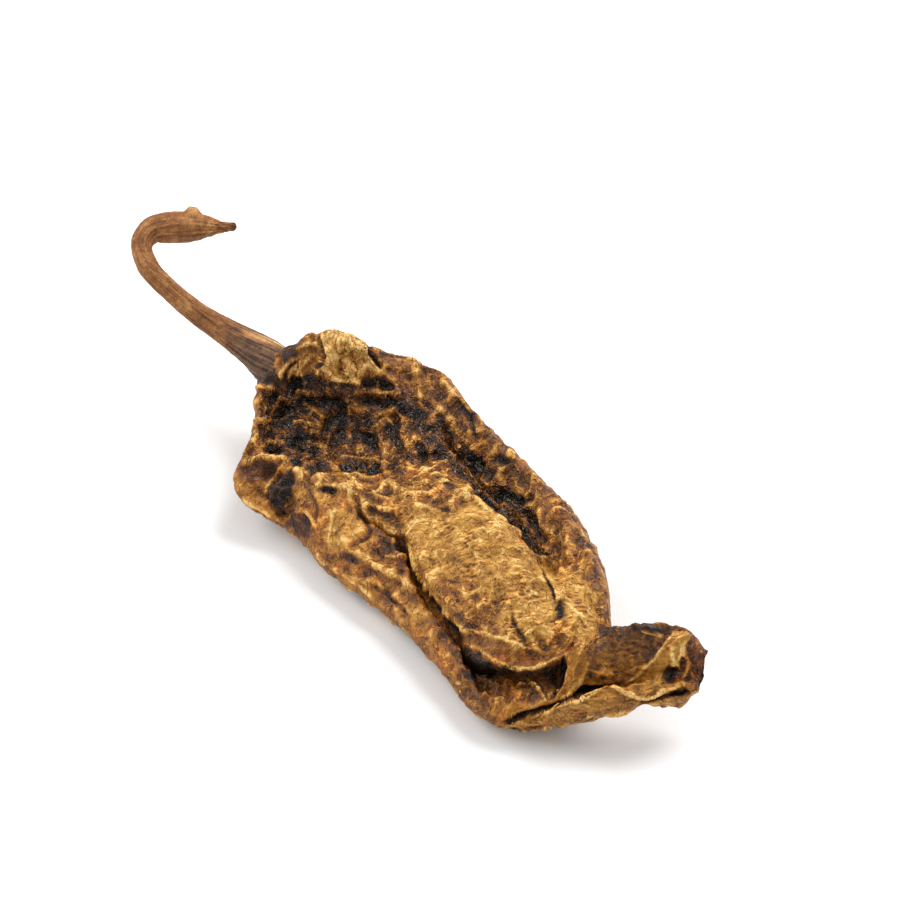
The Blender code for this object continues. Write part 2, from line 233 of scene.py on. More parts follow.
@dataclass(frozen=True)
class Viewpoint:
    """The photograph's camera: how it is turned, its lens, and the point in millimetres that it aims at."""

    azimuth: float = 52.0
    elevation: float = 45.0
    lens: float = 150.0
    sensor: float = 36.0
    distance: float = 420.0
    aim: Point3 = (-15.0, 11.0, 0.0)
    image_size: float = 900.0
    near_clip: float = 10.0

    def directions(self) -> tuple[np.ndarray, np.ndarray, np.ndarray]:
        """Unit vectors to the image's right, to its top and back towards the camera."""
        turn, rise = math.radians(self.azimuth), math.radians(self.elevation)
        back = np.array([math.sin(turn) * math.cos(rise), -math.cos(turn) * math.cos(rise), math.sin(rise)])
        right = np.array([math.cos(turn), math.sin(turn), 0.0])
        return right, np.cross(back, right), back

    def pixels(self, points: np.ndarray) -> tuple[np.ndarray, np.ndarray]:
        """Where points in millimetres fall in the photograph's frame, in pixels from its top left corner."""
        right, up, back = self.directions()
        offset = points - np.array(self.aim)
        depth = self.distance - offset @ back
        scale = self.lens / self.sensor * self.image_size / depth
        middle = self.image_size / 2.0
        return middle + scale * (offset @ right), middle - scale * (offset @ up)

    def make_camera(self) -> bpy.types.Object:
        """Add the camera and make it the scene's own."""
        right, up, back = self.directions()
        data = bpy.data.cameras.new("camera")
        data.lens = self.lens
        data.sensor_width = self.sensor
        data.clip_start = self.near_clip * MM
        camera = bpy.data.objects.new("camera", data)
        place = (np.array(self.aim) + back * self.distance) * MM
        camera.matrix_world = Matrix(
            [[right[i], up[i], back[i], place[i]] for i in range(3)] + [[0.0, 0.0, 0.0, 1.0]]
        )
        bpy.context.scene.collection.objects.link(camera)
        bpy.context.scene.camera = camera
        return camera


# Features of the pod's form, as in the solids

@dataclass(frozen=True)
class Section:
    """One cross-section of the pod, in millimetres.

    It has a place along the pod, its near and far edges (x, y, z), and the heights of the upper and the lower
    skin a quarter, half and three quarters of the way from the far edge to the near one.
    """

    along: float
    near: Point3
    far: Point3
    top: Point3
    low: Point3


@dataclass(frozen=True)
class Fold:
    """A rounded fold along a line in plan, pressed in where its height is negative.

    fade is the share of the line that it fades out over at each end, and power how flat its top is.
    """

    height: float
    half_width: float
    line: tuple[Point2, ...]
    fade: float = 0.12
    power: float = 1.6

    def lift(self, x: np.ndarray, y: np.ndarray) -> np.ndarray:
        """A bell across the line, fading out over its two ends."""
        distance, along = distance_to_line(x, y, self.line)
        ends = smooth_step(along / self.fade) * smooth_step((1.0 - along) / self.fade)
        return self.height * ends * np.exp(-((distance / self.half_width) ** self.power))


@dataclass(frozen=True)
class Lump:
    """A round swelling or dent: a bell stretched along a turned axis in plan."""

    height: float
    centre: Point2
    half: Point2
    turn: float

    def lift(self, x: np.ndarray, y: np.ndarray) -> np.ndarray:
        """Height of the bell: e to the minus r³, where r is 1 on the ellipse."""
        cos, sin = math.cos(math.radians(self.turn)), math.sin(math.radians(self.turn))
        along = ((x - self.centre[0]) * cos + (y - self.centre[1]) * sin) / self.half[0]
        across = (-(x - self.centre[0]) * sin + (y - self.centre[1]) * cos) / self.half[1]
        return self.height * np.exp(-((along * along + across * across) ** 1.5))


SECTIONS = (
    Section(0.0, (-30.8, -3.9, 7.0), (-30.6, 0.8, 7.8), (9.6, 10.0, 9.3), (5.0, 4.6, 4.8)),
    Section(1.4, (-29.7, -4.8, 6.2), (-29.8, 2.0, 8.4), (11.2, 10.7, 8.8), (4.0, 3.4, 3.8)),
    Section(3.6, (-27.6, -6.2, 5.8), (-28.0, 4.4, 8.8), (12.2, 9.8, 6.6), (2.6, 2.0, 2.6)),
    Section(7.0, (-25.1, -8.9, 5.6), (-24.6, 6.8, 8.8), (12.2, 7.2, 5.4), (1.6, 1.0, 1.7)),
    Section(10.0, (-22.8, -12.4, 5.6), (-21.0, 10.2, 8.6), (10.2, 5.6, 5.6), (1.2, 0.5, 1.4)),
    Section(12.6, (-20.4, -14.4, 4.8), (-17.6, 11.6, 8.2), (9.0, 5.2, 6.2), (1.0, 0.2, 1.0)),
    Section(15.4, (-17.2, -13.4, 3.8), (-14.2, 12.0, 7.6), (8.5, 5.6, 6.8), (0.9, 0.0, 0.7)),
    Section(18.6, (-13.8, -12.2, 3.2), (-10.6, 11.7, 7.2), (8.2, 6.4, 7.4), (0.9, -0.1, 0.5)),
    Section(25.0, (-7.2, -12.2, 2.6), (-4.6, 11.7, 6.6), (8.0, 8.8, 7.4), (0.9, -0.2, 0.3)),
    Section(32.0, (1.0, -11.2, 2.8), (2.4, 11.9, 6.2), (8.2, 10.4, 8.0), (0.9, -0.2, 0.3)),
    Section(38.6, (8.4, -11.2, 2.8), (9.0, 10.8, 6.0), (8.8, 10.8, 8.2), (0.9, -0.1, 0.3)),
    Section(44.4, (14.4, -11.7, 2.8), (14.6, 8.8, 6.0), (9.0, 9.8, 7.6), (1.1, 0.1, 0.5)),
    Section(48.2, (17.6, -12.1, 2.6), (18.4, 6.3, 6.2), (8.8, 8.4, 6.8), (1.5, 0.4, 0.7)),
    Section(51.4, (20.4, -11.8, 2.6), (21.4, 3.9, 6.6), (8.2, 7.0, 6.0), (2.4, 0.9, 0.8)),
    Section(54.4, (23.0, -10.4, 2.6), (23.2, 2.4, 7.8), (8.2, 6.0, 4.8), (3.4, 1.4, 1.2)),
    Section(57.4, (25.7, -7.5, 3.6), (24.6, 2.3, 10.2), (9.4, 5.8, 4.8), (4.8, 2.8, 2.4)),
    Section(60.6, (28.4, -3.8, 5.3), (26.2, 3.7, 11.4), (9.8, 6.4, 6.2), (5.6, 3.9, 3.7)),
    Section(64.0, (31.2, 0.1, 6.2), (28.4, 5.9, 11.8), (10.2, 7.2, 7.1), (6.2, 4.9, 4.7)),
    Section(67.2, (33.2, 3.6, 6.6), (30.3, 7.1, 11.2), (10.4, 8.2, 7.4), (7.0, 5.4, 4.8)),
    Section(69.0, (33.5, 5.4, 7.4), (32.0, 7.8, 9.4), (9.4, 8.6, 8.0), (8.0, 6.9, 6.4)),
)

FOLDS = {
    "pleat over the stem seat": Fold(0.9, 0.7, ((-29.2, -4.4), (-28.6, -2.2), (-28.3, 0.4), (-28.2, 2.8))),
    "near edge of the shoulder": Fold(
        1.3, 0.9, ((-29.6, -4.6), (-27.6, -5.8), (-25.4, -7.6), (-23.4, -10.4))
    ),
    "far side roll": Fold(1.5, 1.5, (
        (-21.6, 8.2), (-18.0, 10.4), (-13.1, 11.0), (-5.8, 10.2),
        (3.8, 9.8), (11.0, 8.0), (17.4, 5.4), (21.0, 2.6),
    )),
    "groove inside the far roll": Fold(-2.3, 1.3, (
        (-13.4, 8.4), (-8.4, 7.2), (-2.6, 6.6), (3.0, 6.6), (8.0, 5.6), (11.6, 4.0), (15.0, 2.8),
    )),
    "upper border of the panel": Fold(0.9, 0.9, (
        (-16.3, -9.1), (-12.3, -7.3), (-8.4, -5.6), (-4.4, -4.6), (-1.4, -1.4), (1.0, 1.8), (5.6, 3.1),
    )),
    "edge of the panel over the crack": Fold(0.8, 0.8, (
        (-2.0, -4.6), (1.8, -6.2), (6.0, -7.4), (10.4, -7.8), (13.6, -8.4),
    )),
    "crack beside the panel": Fold(-2.1, 0.32, (
        (-8.9, -7.1), (-4.8, -6.2), (-1.6, -6.1), (1.6, -7.4),
        (6.0, -8.6), (10.6, -9.1), (14.4, -10.0), (16.4, -11.2),
    )),
    "rib of the near lobe": Fold(0.9, 0.5, ((-19.3, -8.2), (-18.2, -10.1), (-17.3, -12.0), (-16.4, -13.4))),
    "edge of the near lobe": Fold(1.3, 0.6, ((-22.6, -12.2), (-21.1, -10.2), (-18.6, -9.0), (-16.3, -9.1))),
    "fold under the panel's front lip": Fold(
        -0.5, 0.6, ((14.4, -9.0), (16.6, -8.1), (18.6, -6.7), (20.2, -4.6), (20.8, -2.6))
    ),
    "notch behind the near lobe": Fold(-1.8, 1.0, ((-14.2, -13.4), (-15.4, -11.6), (-16.0, -9.8))),
    "bend of the folded end": Fold(1.7, 0.9, ((22.0, -1.4), (24.2, -3.0), (25.4, -4.8), (25.4, -6.8))),
    "crease of the folded end": Fold(-1.7, 0.7, (
        (21.8, -10.6), (24.0, -7.0), (25.2, -4.2), (26.6, -1.6), (28.4, 1.2), (30.2, 3.2),
    )),
    "slanting fold of the flap": Fold(1.1, 0.8, ((30.8, 7.2), (30.2, 4.8), (29.4, 2.6), (27.8, 0.4))),
    "near wall of the folded end": Fold(1.1, 0.8, (
        (24.0, -8.8), (26.1, -5.8), (27.4, -3.0), (29.0, -0.6), (31.2, 2.0), (32.8, 4.6),
    )),
}

LUMPS = {
    "crumpled lump on the far shoulder": Lump(2.3, (-23.9, 3.2), (3.4, 2.5), 12.0),
    "sunken hollow behind the shoulder": Lump(-1.6, (-18.8, 1.0), (6.6, 5.4), -8.0),
    "dish in the near lobe": Lump(-1.6, (-18.4, -10.9), (1.7, 2.4), 20.0),
    "lump on the near flank": Lump(1.0, (-9.4, -9.2), (3.2, 1.7), 8.0),
    "crown of the panel": Lump(0.8, (8.4, -3.2), (9.4, 4.2), -14.0),
    "second panel": Lump(0.8, (17.4, 1.4), (3.6, 2.4), -30.0),
}

HOLLOW_OUTLINE = (
    (14.0, -10.0), (16.4, -9.5), (18.6, -8.4), (20.4, -6.8), (21.4, -5.0), (22.0, -3.0),
    (23.6, -4.8), (23.6, -7.4), (21.6, -9.8), (18.0, -11.0),
)
HOLLOW_FLOOR = (2.7, 4.2)
HOLLOW_FLOOR_SPAN = (16.5, 22.0)
HOLLOW_EDGE = 0.6

LIP_LINE = ((13.4, -9.9), (16.4, -9.5), (18.6, -8.4), (20.4, -6.8), (21.4, -5.0), (22.2, -2.8))
CRACK_LINE = ((-2.6, -5.6), (1.6, -7.4), (6.0, -8.6), (10.6, -9.1), (14.4, -10.0), (16.0, -11.0))

NET_HEIGHT = 0.55
NET_HEIGHT_BELOW = 0.7
NET_MIDDLE = 0.4
NET_SPACING = 4.6
# For each family of lines: its turn in degrees and its spacing, as a multiple of the net's.
NET_FAMILIES = ((12.0, 1.0), (78.0, 1.25), (131.0, 1.1))
# The sines that bend the lines: reach in millimetres, and radians to a millimetre across and along the bend.
NET_BEND_ALONG = (1.1, 0.62, 0.21)
NET_BEND_AROUND = (1.3, 0.47, 0.35)


# Fine features, placed where the photograph shows them

@dataclass(frozen=True)
class Skin:
    """How one patch of skin looks and feels; each value is blended in over the patch.

    tone is how light it is, red how reddish, gloss how shiny, crumple how deeply creased, and striae how much
    it is scored with fine lines across the pod.
    """

    tone: float
    red: float = 0.35
    gloss: float = 0.35
    crumple: float = 0.8
    striae: float = 0.25


@dataclass(frozen=True)
class Patch:
    """A patch of skin with its outline in photograph pixels and the width in pixels of its soft edge."""

    skin: Skin
    edge: float
    outline: tuple[Point2, ...]

    def cover(self, px: np.ndarray, py: np.ndarray) -> np.ndarray:
        """1 well inside the outline, 0 outside, with an eased step across the edge."""
        return smooth_step(0.5 + inside_outline(px, py, self.outline) / self.edge)


@dataclass(frozen=True)
class Blot:
    """A small oval spot: centre, half sizes in photograph pixels and turn, depth in millimetres and tone. A
    darker tone is painted shade in the dent, a lighter one a painted glint.
    """

    centre: Point2
    half: Point2
    turn: float
    depth: float
    tone: float

    def cover(self, px: np.ndarray, py: np.ndarray) -> np.ndarray:
        """A soft-edged oval: 1 at the centre, falling as e to the minus r to the 2.6."""
        cos, sin = math.cos(math.radians(self.turn)), math.sin(math.radians(self.turn))
        along = ((px - self.centre[0]) * cos + (py - self.centre[1]) * sin) / self.half[0]
        across = (-(px - self.centre[0]) * sin + (py - self.centre[1]) * cos) / self.half[1]
        return np.exp(-((along * along + across * across) ** 1.3))


@dataclass(frozen=True)
class Crease:
    """A fine ridge or crack along photograph pixels: height and half width in millimetres, change of tone.
    The change of tone is painted light and shade: lighter along lit crests, darker in cracks.

    fade is the share of the line that it thins out over at each end, and power how flat its top is.
    """

    height: float
    half_width: float
    tone: float
    line: tuple[Point2, ...]
    fade: float = 0.2
    power: float = 1.7

    def cover(self, px: np.ndarray, py: np.ndarray, pixels_to_mm: float) -> np.ndarray:
        """A bell across the line, thinning out towards both ends."""
        distance, along = distance_to_line(px, py, self.line)
        ends = smooth_step(along / self.fade) * smooth_step((1.0 - along) / self.fade)
        return ends * np.exp(-((distance * pixels_to_mm / self.half_width) ** self.power))


BARE_SKIN = Skin(tone=0.60, crumple=0.7)

PATCHES = {
    "near flank": Patch(Skin(0.635, 0.42, 0.4, 0.42, 0.25), 14.0, (
        (290, 520), (335, 496), (385, 526), (410, 560), (440, 605), (467, 650), (464, 690), (430, 660),
        (395, 625), (335, 585), (290, 550),
    )),
    "lump on the near flank": Patch(Skin(0.78, 0.2, 0.35, 0.3, 0.3), 5.0, (
        (327, 508), (340, 503), (354, 516), (366, 531), (360, 537), (349, 541), (343, 550), (327, 547),
        (325, 534), (328, 520),
    )),
    "gold beside the near lobe": Patch(Skin(0.72, 0.12, 0.40, 0.35, 0.3), 6.0, (
        (300, 482), (320, 484), (325, 500), (318, 512), (306, 506), (299, 494),
    )),
    "fold behind the near lobe": Patch(Skin(0.34, 0.7, 0.5, 0.5, 0.1), 6.0, (
        (289, 513), (303, 511), (314, 530), (309, 541), (298, 535), (290, 525),
    )),
    "valley beside the panel": Patch(Skin(0.47, 0.50, 0.40, 0.60, 0.1), 9.0, (
        (366, 520), (385, 526), (404, 538), (412, 560), (414, 577), (400, 572), (384, 562), (367, 546),
    )),
    "mottled foot of the near flank": Patch(Skin(0.40, 0.55, 0.50, 0.60, 0.1), 8.0, (
        (436, 618), (447, 624), (460, 640), (468, 655), (467, 672), (460, 668), (450, 652), (440, 636),
    )),
    "panel": Patch(Skin(0.725, 0.05, 0.3, 0.28, 1.0), 7.0, (
        (366, 500), (391, 508), (408, 505), (437, 503), (469, 502), (486, 504), (500, 516), (511, 523),
        (525, 536), (541, 553), (549, 575), (555, 598), (558, 618), (554, 634), (535, 641), (510, 645),
        (492, 640), (473, 636), (457, 629), (441, 606), (424, 584), (413, 562), (406, 538), (388, 520),
    )),
    "brown foot of the panel": Patch(Skin(0.6, 0.45, 0.4, 0.6, 0.5), 16.0, (
        (418, 570), (450, 572), (480, 590), (500, 612), (494, 638), (470, 634), (445, 608),
    )),
    "second panel": Patch(Skin(0.765, 0.05, 0.3, 0.22, 1.0), 6.0, (
        (545, 566), (560, 572), (577, 572), (590, 582), (598, 600), (599, 625), (594, 640), (577, 642),
        (564, 632), (558, 606), (551, 588),
    )),
    "rough golden skin": Patch(Skin(0.59, 0.25, 0.45, 0.8, 0.3), 10.0, (
        (385, 488), (400, 474), (418, 466), (440, 460), (458, 466), (468, 480), (480, 500), (450, 506),
        (415, 506), (395, 500),
    )),
    "far roll": Patch(Skin(0.53, 0.4, 0.45, 0.6, 0.3), 8.0, (
        (378, 345), (437, 365), (480, 396), (506, 436), (546, 462), (572, 498), (594, 528), (610, 562),
        (616, 600), (612, 638), (600, 640), (600, 600), (588, 565), (562, 530), (530, 500), (508, 474),
        (480, 446), (455, 425), (430, 400), (395, 385),
    )),
    "lump on the far shoulder": Patch(Skin(0.95, 0.42, 0.4, 0.9, 0.2), 5.0, (
        (318, 358), (322, 340), (341, 328), (358, 340), (379, 368), (368, 377), (351, 379), (333, 381),
        (317, 371),
    )),
    "pleats beside the stem": Patch(Skin(0.61, 0.5, 0.45, 0.4, 0.2), 6.0, (
        (258, 392), (262, 380), (280, 362), (300, 346), (318, 338), (318, 368), (300, 372), (284, 386),
        (270, 398),
    )),
    "collar under the stem": Patch(Skin(0.24, 0.60, 0.60, 0.30, 0.1), 5.0, (
        (254, 370), (270, 368), (280, 372), (278, 385), (262, 386), (255, 384),
    )),
    "shade beside the stem": Patch(Skin(0.30, 0.70, 0.50, 0.30, 0.1), 5.0, (
        (280, 352), (290, 344), (300, 345), (296, 356), (288, 364), (281, 362),
    )),
    "dark hollow": Patch(Skin(0.305, 0.6, 1.0, 1.0, 0.0), 10.0, (
        (264, 392), (284, 384), (300, 372), (318, 376), (335, 384), (368, 381), (384, 372), (400, 386),
        (430, 402), (452, 424), (468, 444), (484, 458), (500, 480), (520, 498), (540, 520), (552, 545),
        (556, 566), (545, 562), (530, 545), (510, 524), (495, 508), (480, 496), (463, 480), (446, 462),
        (428, 460), (408, 466), (390, 480), (372, 476), (350, 472), (328, 474), (306, 474), (292, 464),
        (277, 452), (262, 446), (260, 430), (264, 410),
    )),
    "brown fold in the dark hollow": Patch(Skin(0.39, 0.55, 0.95, 1.0, 0.0), 12.0, (
        (330, 440), (360, 430), (395, 436), (420, 445), (405, 460), (375, 466), (345, 458),
    )),
    "lit wrinkles in the dark hollow": Patch(Skin(0.43, 0.55, 0.95, 1.0, 0.0), 12.0, (
        (352, 398), (380, 412), (400, 418), (410, 432), (385, 432), (360, 420),
    )),
    "near lobe": Patch(Skin(0.7, 0.35, 0.35, 0.3, 0.2), 5.0, (
        (232, 462), (258, 453), (287, 458), (298, 472), (286, 470), (280, 490), (274, 508), (286, 524),
        (256, 514), (230, 495),
    )),
    "shade in the near lobe": Patch(Skin(0.36, 0.80, 0.35, 0.30, 0.3), 10.0, (
        (237, 466), (256, 462), (280, 463), (277, 474), (266, 480), (250, 481), (239, 477),
    )),
    "brown foot of the blue-black patch": Patch(Skin(0.40, 0.60, 0.45, 0.80, 0.1), 6.0, (
        (268, 496), (292, 494), (290, 506), (285, 516), (272, 511),
    )),
    "blue-black patch": Patch(Skin(0.16, 0.0, 0.55, 0.60, 0.1), 7.0, (
        (280, 471), (290, 473), (299, 482), (294, 492), (287, 500), (282, 508), (272, 506), (266, 497),
        (272, 484),
    )),
    "ledge of the front lip": Patch(Skin(0.56, 0.35, 0.40, 0.35, 0.2), 4.0, (
        (462, 640), (478, 636), (496, 641), (512, 648), (530, 653), (546, 655), (560, 646), (574, 644),
        (575, 652), (556, 660), (538, 667), (518, 668), (500, 666), (486, 658), (474, 648),
    )),
    "shadow under the front lip": Patch(Skin(0.14, 0.5, 0.6, 0.5, 0.0), 6.0, (
        (462, 645), (476, 650), (486, 660), (496, 668), (517, 671), (538, 671), (552, 666), (560, 661),
        (563, 668), (561, 682), (556, 688), (548, 678), (535, 677), (512, 676), (500, 676), (486, 680),
        (470, 684), (465, 668),
    )),
    "floor of the front hollow": Patch(Skin(0.50, 0.45, 0.5, 0.45, 0.2), 8.0, (
        (464, 684), (478, 679), (496, 676), (520, 677), (540, 680), (556, 690), (550, 706), (520, 718),
        (497, 726), (480, 714),
    )),
    "gold at the foot of the front hollow": Patch(Skin(0.68, 0.20, 0.4, 0.30, 0.2), 8.0, (
        (484, 712), (500, 704), (520, 702), (540, 700), (546, 706), (524, 714), (500, 722),
    )),
    "bend": Patch(Skin(0.65, 0.30, 0.35, 0.12, 0.4), 12.0, (
        (560, 660), (572, 650), (590, 650), (600, 660), (596, 676), (584, 690), (566, 704), (549, 707),
        (554, 692), (560, 678),
    )),
    "flap": Patch(Skin(0.45, 0.20, 0.45, 0.20, 0.8), 6.0, (
        (588, 656), (600, 640), (610, 634), (631, 620), (692, 624), (684, 638), (668, 655), (650, 672),
        (625, 686), (600, 690), (582, 692), (588, 676),
    )),
    "lit foot of the flap": Patch(Skin(0.60, 0.15, 0.4, 0.20, 0.9), 18.0, (
        (592, 664), (610, 652), (634, 652), (642, 664), (624, 680), (600, 688), (588, 682),
    )),
    "slanting fold of the flap": Patch(Skin(0.76, 0.15, 0.35, 0.2, 0.6), 4.0, (
        (676, 630), (692, 630), (690, 642), (680, 656), (671, 670), (664, 684), (655, 692), (640, 692),
        (616, 688), (632, 680), (646, 668), (660, 651),
    )),
    "near wall of the folded end": Patch(Skin(0.68, 0.20, 0.35, 0.30, 0.5), 5.0, (
        (496, 730), (519, 722), (533, 716), (552, 708), (567, 702), (581, 699), (592, 692), (601, 687),
        (615, 686), (626, 692), (638, 697), (655, 696), (680, 686), (700, 684), (706, 700), (640, 718),
        (600, 728), (550, 742), (510, 740),
    )),
    "open end": Patch(Skin(0.4, 1.0, 0.65, 0.55, 0.1), 5.0, (
        (688, 644), (694, 632), (712, 640), (712, 680), (698, 688), (688, 686), (670, 684), (672, 670),
        (682, 656),
    )),
}

# Most blots darken the skin: painted shade in its dents, holes, slots and grooves. The glint under the stem
# is a painted highlight.
BLOTS = {
    "hollow by the stem": Blot((296, 384), (11, 10), 0.0, 0.7, -0.32),
    "hollow under the stem": Blot((290, 413), (11, 11), -20.0, 0.7, -0.32),
    "hollow beside it": Blot((322, 402), (16, 5), 6.0, 0.5, -0.28),
    "shade under the shoulder lump": Blot((370, 383), (15, 5), 4.0, 0.3, -0.26),
    "shade beside the far roll": Blot((385, 403), (17, 4.5), 3.0, 0.5, -0.22),
    "second shade beside the far roll": Blot((408, 412), (9, 5), 35.0, 0.4, -0.24),
    "hollow by the near wall": Blot((300, 439), (12, 8), 12.0, 0.6, -0.28),
    "hollow amid the wrinkles": Blot((341, 417), (6, 15), -4.0, 0.6, -0.32),
    "hollow past the wrinkles": Blot((371, 441), (12, 8), 35.0, 0.5, -0.28),
    "slot over the near lobe": Blot((296, 463), (6, 4), 15.0, 0.4, -0.28),
    "slot by the near lobe": Blot((274, 451), (11, 4), 8.0, 0.4, -0.28),
    "dot in the dark hollow": Blot((312, 455), (5, 5), 0.0, 0.4, -0.25),
    "hollow under the ledge": Blot((357, 470), (17, 4), 2.0, 0.4, -0.28),
    "slot above the flank": Blot((329, 490), (6.5, 3.5), 8.0, 0.5, -0.50),
    "black of the far groove": Blot((476, 462), (12, 6), 45.0, 0.5, -0.35),
    "second black of the far groove": Blot((505, 462), (9, 5), 20.0, 0.4, -0.30),
    "black at the groove's end": Blot((513, 498), (13, 6), 45.0, 0.4, -0.35),
    "dip in the gold": Blot((446, 510), (4, 3), 0.0, 0.3, -0.35),
    "hole between the panels": Blot((560, 611), (7, 10), 12.0, 0.5, -0.55),
    "hole in the open end": Blot((671, 674), (9, 6), -20.0, 0.7, -0.45),
    "slit of the open end": Blot((654, 700), (11, 2.2), -10.0, 0.5, -0.55),
    "wide part of the slit": Blot((677, 694), (12, 3.4), -20.0, 0.7, -0.55),
    "notch in the crease of the folded end": Blot((585, 692), (9, 3.6), -18.0, 1.0, -0.8),
    "first dip of the near flank": Blot((348, 558), (9, 4), 20.0, 0.25, -0.12),
    "second dip of the near flank": Blot((364, 575), (6, 5), 0.0, 0.2, -0.12),
    "third dip of the near flank": Blot((387, 599), (9, 7), 30.0, 0.2, -0.14),
    "glint under the stem": Blot((297.5, 391), (2.5, 4), 30.0, -0.2, 0.55),
}
